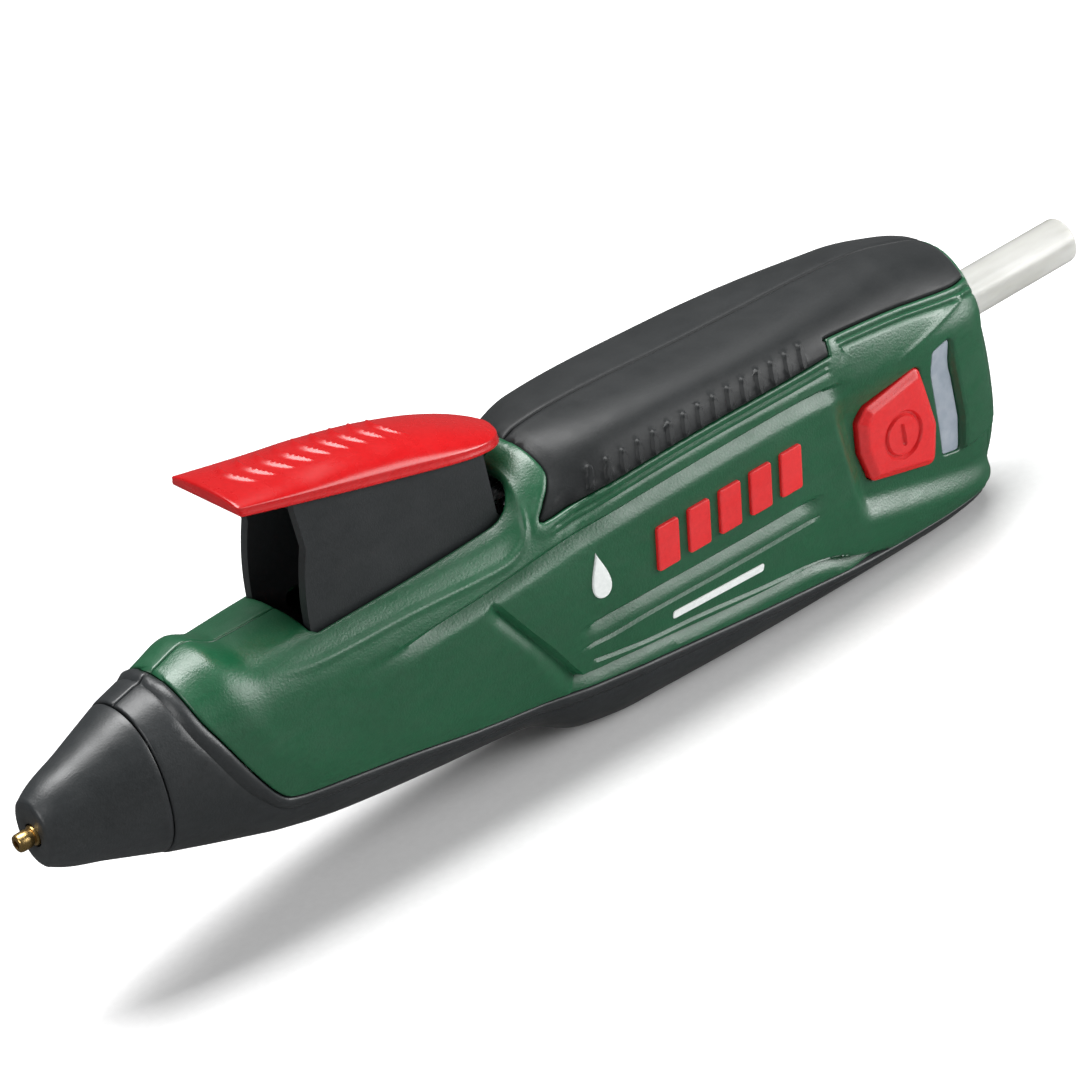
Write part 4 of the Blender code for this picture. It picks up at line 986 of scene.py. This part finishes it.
def make_trigger():
    rings = []
    for back, shrink in ((0.0, 0.55), (0.04, 0.38), (0.13, 0.2), (0.28, 0.07)):
        rings.append(cap_ring(CAP_FRONT + 0.5, shrink, CAP_FRONT + back))
    xs = [*np.arange(CAP_FRONT + 0.5, 80.0, 0.3), *(80.0 + 4.3 * np.sin(np.linspace(0.02, 1, 26) * pi / 2))]
    rings += [cap_ring(min(x, 84.34)) for x in xs]
    made("lever_cap", loft(rings), RED, ["trigger_cap"], "trigger", 50)
    arc = [(PIVOT[0] - sqrt(38.5 ** 2 - (z - PIVOT[2]) ** 2), z) for z in np.linspace(3.0, 22.2, 24)]
    top_front = (47.6, cap_edge_z(47.6) + 0.7)
    top_rear = (78.2, cap_edge_z(78.2) + 0.5)
    arm = [(PIVOT[0] + 2.6 * cos(a), PIVOT[2] + 2.3 * sin(a))
           for a in np.radians(np.linspace(90, -100, 24))]
    outline = [*arc, top_front, top_rear, (78.4, 12.4), (80.0, 9.9), (82.6, 10.8), *arm,
               (79.4, 3.0), (78.6, -3.8), (58.0, -4.0), (50.0, 0.0)]
    for low, high, word in ((-7.2, -5.7, "left"), (5.7, 7.2, "right")):
        cheek = made("lever_cheek_" + word, prism(outline, low, high), BLACK,
                     ["trigger_stem"] if low < 0 else (), "trigger", 30)
        cut(cheek, rod(-12, 12, 1.25, "Y", PIVOT, 32), prism(cam_slot(), -12, 12))
        bevelled(cheek, 0.28)
    web = [(47.0, cap_edge_z(47.0) + 0.6), (47.6, cap_edge_z(47.6) - 1.2), (78.0, cap_edge_z(78.0) - 1.6),
           (78.0, cap_edge_z(78.0) + 0.5)]
    made("lever_web", prism(web, -5.8, 5.8), BLACK, (), "trigger", 30)
    back = [(76.9, 12.0), (78.3, 12.4), (78.1, cap_edge_z(78.0)), (76.7, cap_edge_z(77.0))]
    made("lever_back", prism(back, -5.8, 5.8), BLACK, (), "trigger", 30)


def cam_slot():
    """The slot in the lever's cheeks that drives the carriage: its pin's path, seen from the lever."""
    half, stroke, press = 1.62, 7.0, 15.0
    path = []
    for k in range(13):
        angle = radians(-press * k / 12)
        dx, dz = 61.0 - stroke * k / 12 - PIVOT[0], -PIVOT[2]
        path.append((PIVOT[0] + dx * cos(angle) - dz * sin(angle),
                     PIVOT[2] + dx * sin(angle) + dz * cos(angle)))
    left, right = offset_line(path, half), offset_line(path, -half)

    def end(centre, start):
        out = np.array(start) - np.array(centre)
        return [(centre[0] + out[0] * cos(a) + out[1] * sin(a),
                 centre[1] - out[0] * sin(a) + out[1] * cos(a)) for a in np.linspace(0, pi, 14)[1:-1]]

    return [tuple(q) for q in [*left, *end(path[-1], left[-1]), *right[::-1], *end(path[0], right[0])]]


# Controls, marks and small parts.

def button_shape(x, z):
    """The sunk face with its engraved ring and bar."""
    dx, dz = x - BUTTON_CENTRE[0], z - BUTTON_CENTRE[1]
    radius = np.hypot(dx, dz)
    ring = np.clip(1 - np.abs(radius - 3.3) / 0.45, 0, 1)
    bar = np.clip(1 - np.hypot(dx, np.maximum(0, np.abs(dz) - 1.35)) / 0.45, 0, 1)
    return -0.35 - 0.42 * eased(np.maximum(ring, bar) * 1.6)


def lens_shape(x, _, p):
    """The lens lies a little below the floor of the pocket."""
    return -0.25 - pocket(np.full(len(x), 154.0), p[:, 2], 0.0)


def make_controls():
    rows = (0.06, 0.16, 0.28, 0.42, 0.6, 0.8, 1.0, 1.2, 1.45)
    cx, cz = BUTTON_CENTRE
    marks = []
    for radius in (2.85, 3.0, 3.15, 3.3, 3.45, 3.6, 3.75):
        angle = full_turn(70)
        marks += list(zip(cx + radius * np.cos(angle), cz + radius * np.sin(angle)))
    for dx in (-0.45, -0.3, -0.15, 0.0, 0.15, 0.3, 0.45):
        marks += [(cx + dx, cz + dz) for dz in np.linspace(-1.8, 1.8, 20)]
    loop = side_loop(rounded(BUTTON, BUTTON_CORNER, 8))
    p, tris, loops = triangulated(loop, [], [SKIN.from_side(marks)], 0.45, rows)
    base, n = SKIN.at(p[:, 0], p[:, 1]), SKIN.normal(p[:, 0], p[:, 1])
    gap = distance_to(loops, p)
    out = button_shape(p[:, 0], base[:, 2]) - 0.75 * eased(1 - gap / 1.5) + rolled(gap, 0.3, 0.25)
    outer, inner = base + n * out[:, None], base - n * 2.4
    outer[:, 1] *= -1
    clear_of_switch = 11.3
    inner[:, 1] = -np.maximum(inner[:, 1], clear_of_switch)
    made("switch_cap", solid_of(outer, inner, tris, True), RED_GRAINED, ["power_button"], "button")
    outline = [(152.6 + 0.95 * (x - 152.6), z) for x, z in WINDOW]
    mesh = shell(side_loop(rounded(outline, WINDOW_CORNER, 5)), [], [], lens_shape, 1.2, True, 0.4,
                 (0.15, 0.12), (0.06, 0.16))
    made("status_lens", mesh, LENS, ["light_window"])


def emblem(name, outline, look, rise, fillet=(0.22, 0.2)):
    """A low raised shape on the left side."""
    mesh = shell(side_loop(outline, 0.2), [], [], lambda x, a, p: rise, 0.5, True, 0.3, fillet,
                 (0.06, 0.14, 0.24))
    made(name, mesh, look)


def make_marks():
    drop = []
    for k in range(48):
        t = 2 * pi * k / 48
        drop.append((88.3 + 2.3 * sin(t) * sin(t / 2) ** 1.6, -0.4 + 3.5 * cos(t)))
    emblem("drop_mark", drop, PALE, 0.3)
    for n in range(5):
        x = 97.6 + 5.7 * n
        base, top = -4.6 + 0.05 * n, 1.9 + 0.05 * n
        slab = rounded([(x, base), (x + 3.9, base), (x + 4.9, top), (x + 1.0, top)], 0.5, 5)
        emblem(f"accent_bar_{n + 1}", slab, RED_GRAINED, 0.55)
    stripe = rounded([(99.0, -13.3), (115.6, -13.9), (115.9, -12.7), (99.3, -12.1)], 0.5, 5)
    emblem("pale_stripe", stripe, PALE, 0.12, (0.1, 0.08))


def make_rear_parts():
    ring = [(165.0, 4.02), (165.0, 4.9), (167.5, 4.9), (167.75, 4.86), (167.92, 4.74), (168.0, 4.58),
            (168.0, 4.4), (167.92, 4.24), (167.75, 4.1), (167.5, 4.02)]
    made("inlet_collar", turned(ring, "X", (0, 0, 0), 72), BLACK, ["glue_inlet_ring"])
    stick = [(40.0, THIN), (40.0, 3.1), (40.2, 3.4), (40.6, 3.5), (189.5, 3.5), (189.8, 3.43), (189.95, 3.3),
             (190.0, 3.1), (190.0, THIN)]
    made("glue_rod", turned(stick, "X", (0, 0, 0), 64), GLUE, ["glue_stick"], "stick")
    socket = made("charge_socket", box((159.0, -3.8, -17.4), (165.6, 3.8, -14.6)), NICKEL,
                  ["charging_socket"])
    cut(socket, box((SOCKET_FRONT, -3.3, -16.9), (172.0, 3.3, -15.1)))
    bevelled(socket, 0.12, 2)
    for n, (x, z) in enumerate(SCREWS, 1):
        profile = [(-6.2, THIN), (-5.0, 1.2), (5.0, 1.2), (5.0, 2.05), (5.1, 2.2), (6.1, 2.2), (6.45, 1.95),
                   (6.65, 1.4), (6.7, THIN)]
        screw = made(f"case_screw_{n}", turned(profile, "Y", (x, 0, z), 40), STEEL,
                     [f"housing_screw_{n}"])
        for dx, dz in ((1.3, 0.24), (0.24, 1.3)):
            cut(screw, box((x - dx, 5.6, z - dz), (x + dx, 8.0, z + dz)))


def dress_the_rest():
    """The CAD nodes that stay get their procedural materials."""
    looks = ((BLACK, "stick_guide feed_carriage tactile_switch"), (ALUMINIUM, "heater_block"),
             (CERAMIC, "heating_element heat_shield"), (SILICONE, "inlet_sleeve"),
             (CELL_WRAP, "battery_cell"), (LED, "thermal_sensor status_led_1 status_led_2 status_led_3"),
             (STEEL, "trigger_pin trigger_spring feed_jaw jaw_pin"), (BOARD, "circuit_board charge_board"),
             (NICKEL, "battery_tab_front battery_tab_rear"), (WIRE_BLACK, "heater_lead_1 cell_lead_black"),
             (WIRE_RED, "heater_lead_2 cell_lead_red"))
    for look, nodes in looks:
        for node in nodes.split():
            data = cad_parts[node].data
            data.materials.clear()
            data.materials.append(look)


# Floor, light and camera.

def make_floor():
    mesh = bpy.data.meshes.new("floor")
    corners = [(-4, -4), (4, -4), (4, 4), (-4, 4)]
    mesh.from_pydata([(x, y, -0.0001) for x, y in corners], [], [(0, 1, 2, 3)])
    made_of, tree, shader = shader_of("floor_paper", (0.9, 0.9, 0.9), 0.7)
    paper = noise(tree, 900.0, 3.0)
    shade = ramp(tree, paper, (0.885, 0.885, 0.885), (0.915, 0.915, 0.915))
    tree.links.new(shade, shader.inputs["Base Color"])
    mesh.materials.append(made_of)
    floor = placed("floor", mesh)
    floor.visible_glossy = False  # its reflection would veil the dark mouldings


def area_light(name, place, size, power):
    """A soft box that faces the middle of the tool."""
    data = bpy.data.lights.new(name, "AREA")
    data.shape, data.size, data.size_y = "RECTANGLE", size[0], size[1]
    data.energy = power
    light = placed(name, data)
    light.location = place
    light.rotation_euler = (Vector((0, 0, 0.03)) - Vector(place)).to_track_quat("-Z", "Y").to_euler()


def make_light():
    """A key from above, an accent at the nose, and two from the right that rake the grooves."""
    sky = bpy.data.worlds.new("studio")
    sky.use_nodes = True
    set_values(sky.node_tree.nodes["Background"], {"Color": (1, 1, 1, 1), "Strength": 0.12})
    bpy.context.scene.world = sky
    area_light("key", (0.05, 0.20, 0.85), (0.80, 0.50), 14.0)
    area_light("front", (-0.80, -0.25, 0.45), (0.30, 0.40), 2.4)
    area_light("side", (0.60, -0.66, 0.40), (0.80, 0.45), 5.6)
    area_light("low", (0.86, -0.46, 0.12), (0.50, 0.30), 4.2)
    bpy.context.scene.view_settings.view_transform = "Standard"


def make_camera():
    """A long lens 0.7 m away; its aim and roll put the tool's long axis up the picture to the right."""
    azimuth, elevation, roll = (radians(v) for v in (-33.7749, 29.3705, -11.9416))
    back = np.array([sin(azimuth) * cos(elevation), -cos(azimuth) * cos(elevation),
                     sin(elevation)])
    level = np.cross((0, 0, 1), back)
    level /= np.linalg.norm(level)
    rise = np.cross(back, level)
    right = level * cos(roll) + rise * sin(roll)
    up = -level * sin(roll) + rise * cos(roll)
    place = np.array([-0.010, 0.0, 0.033]) + back * 0.7 + right * 0.0039885 - up * 0.0022941
    data = bpy.data.cameras.new("camera")
    data.sensor_width = 36.0
    data.lens = 171.21
    data.clip_start, data.clip_end = 0.05, 20.0
    camera = placed("camera", data)
    camera.matrix_world = Matrix([[right[k], up[k], back[k], place[k]] for k in range(3)] + [[0, 0, 0, 1]])
    bpy.context.scene.camera = camera


make_shells()
make_wells()
make_rear_face(True)
make_rear_face(False)
make_nose()
make_trigger()
make_controls()
make_marks()
make_rear_parts()
dress_the_rest()
make_floor()
make_light()
make_camera()
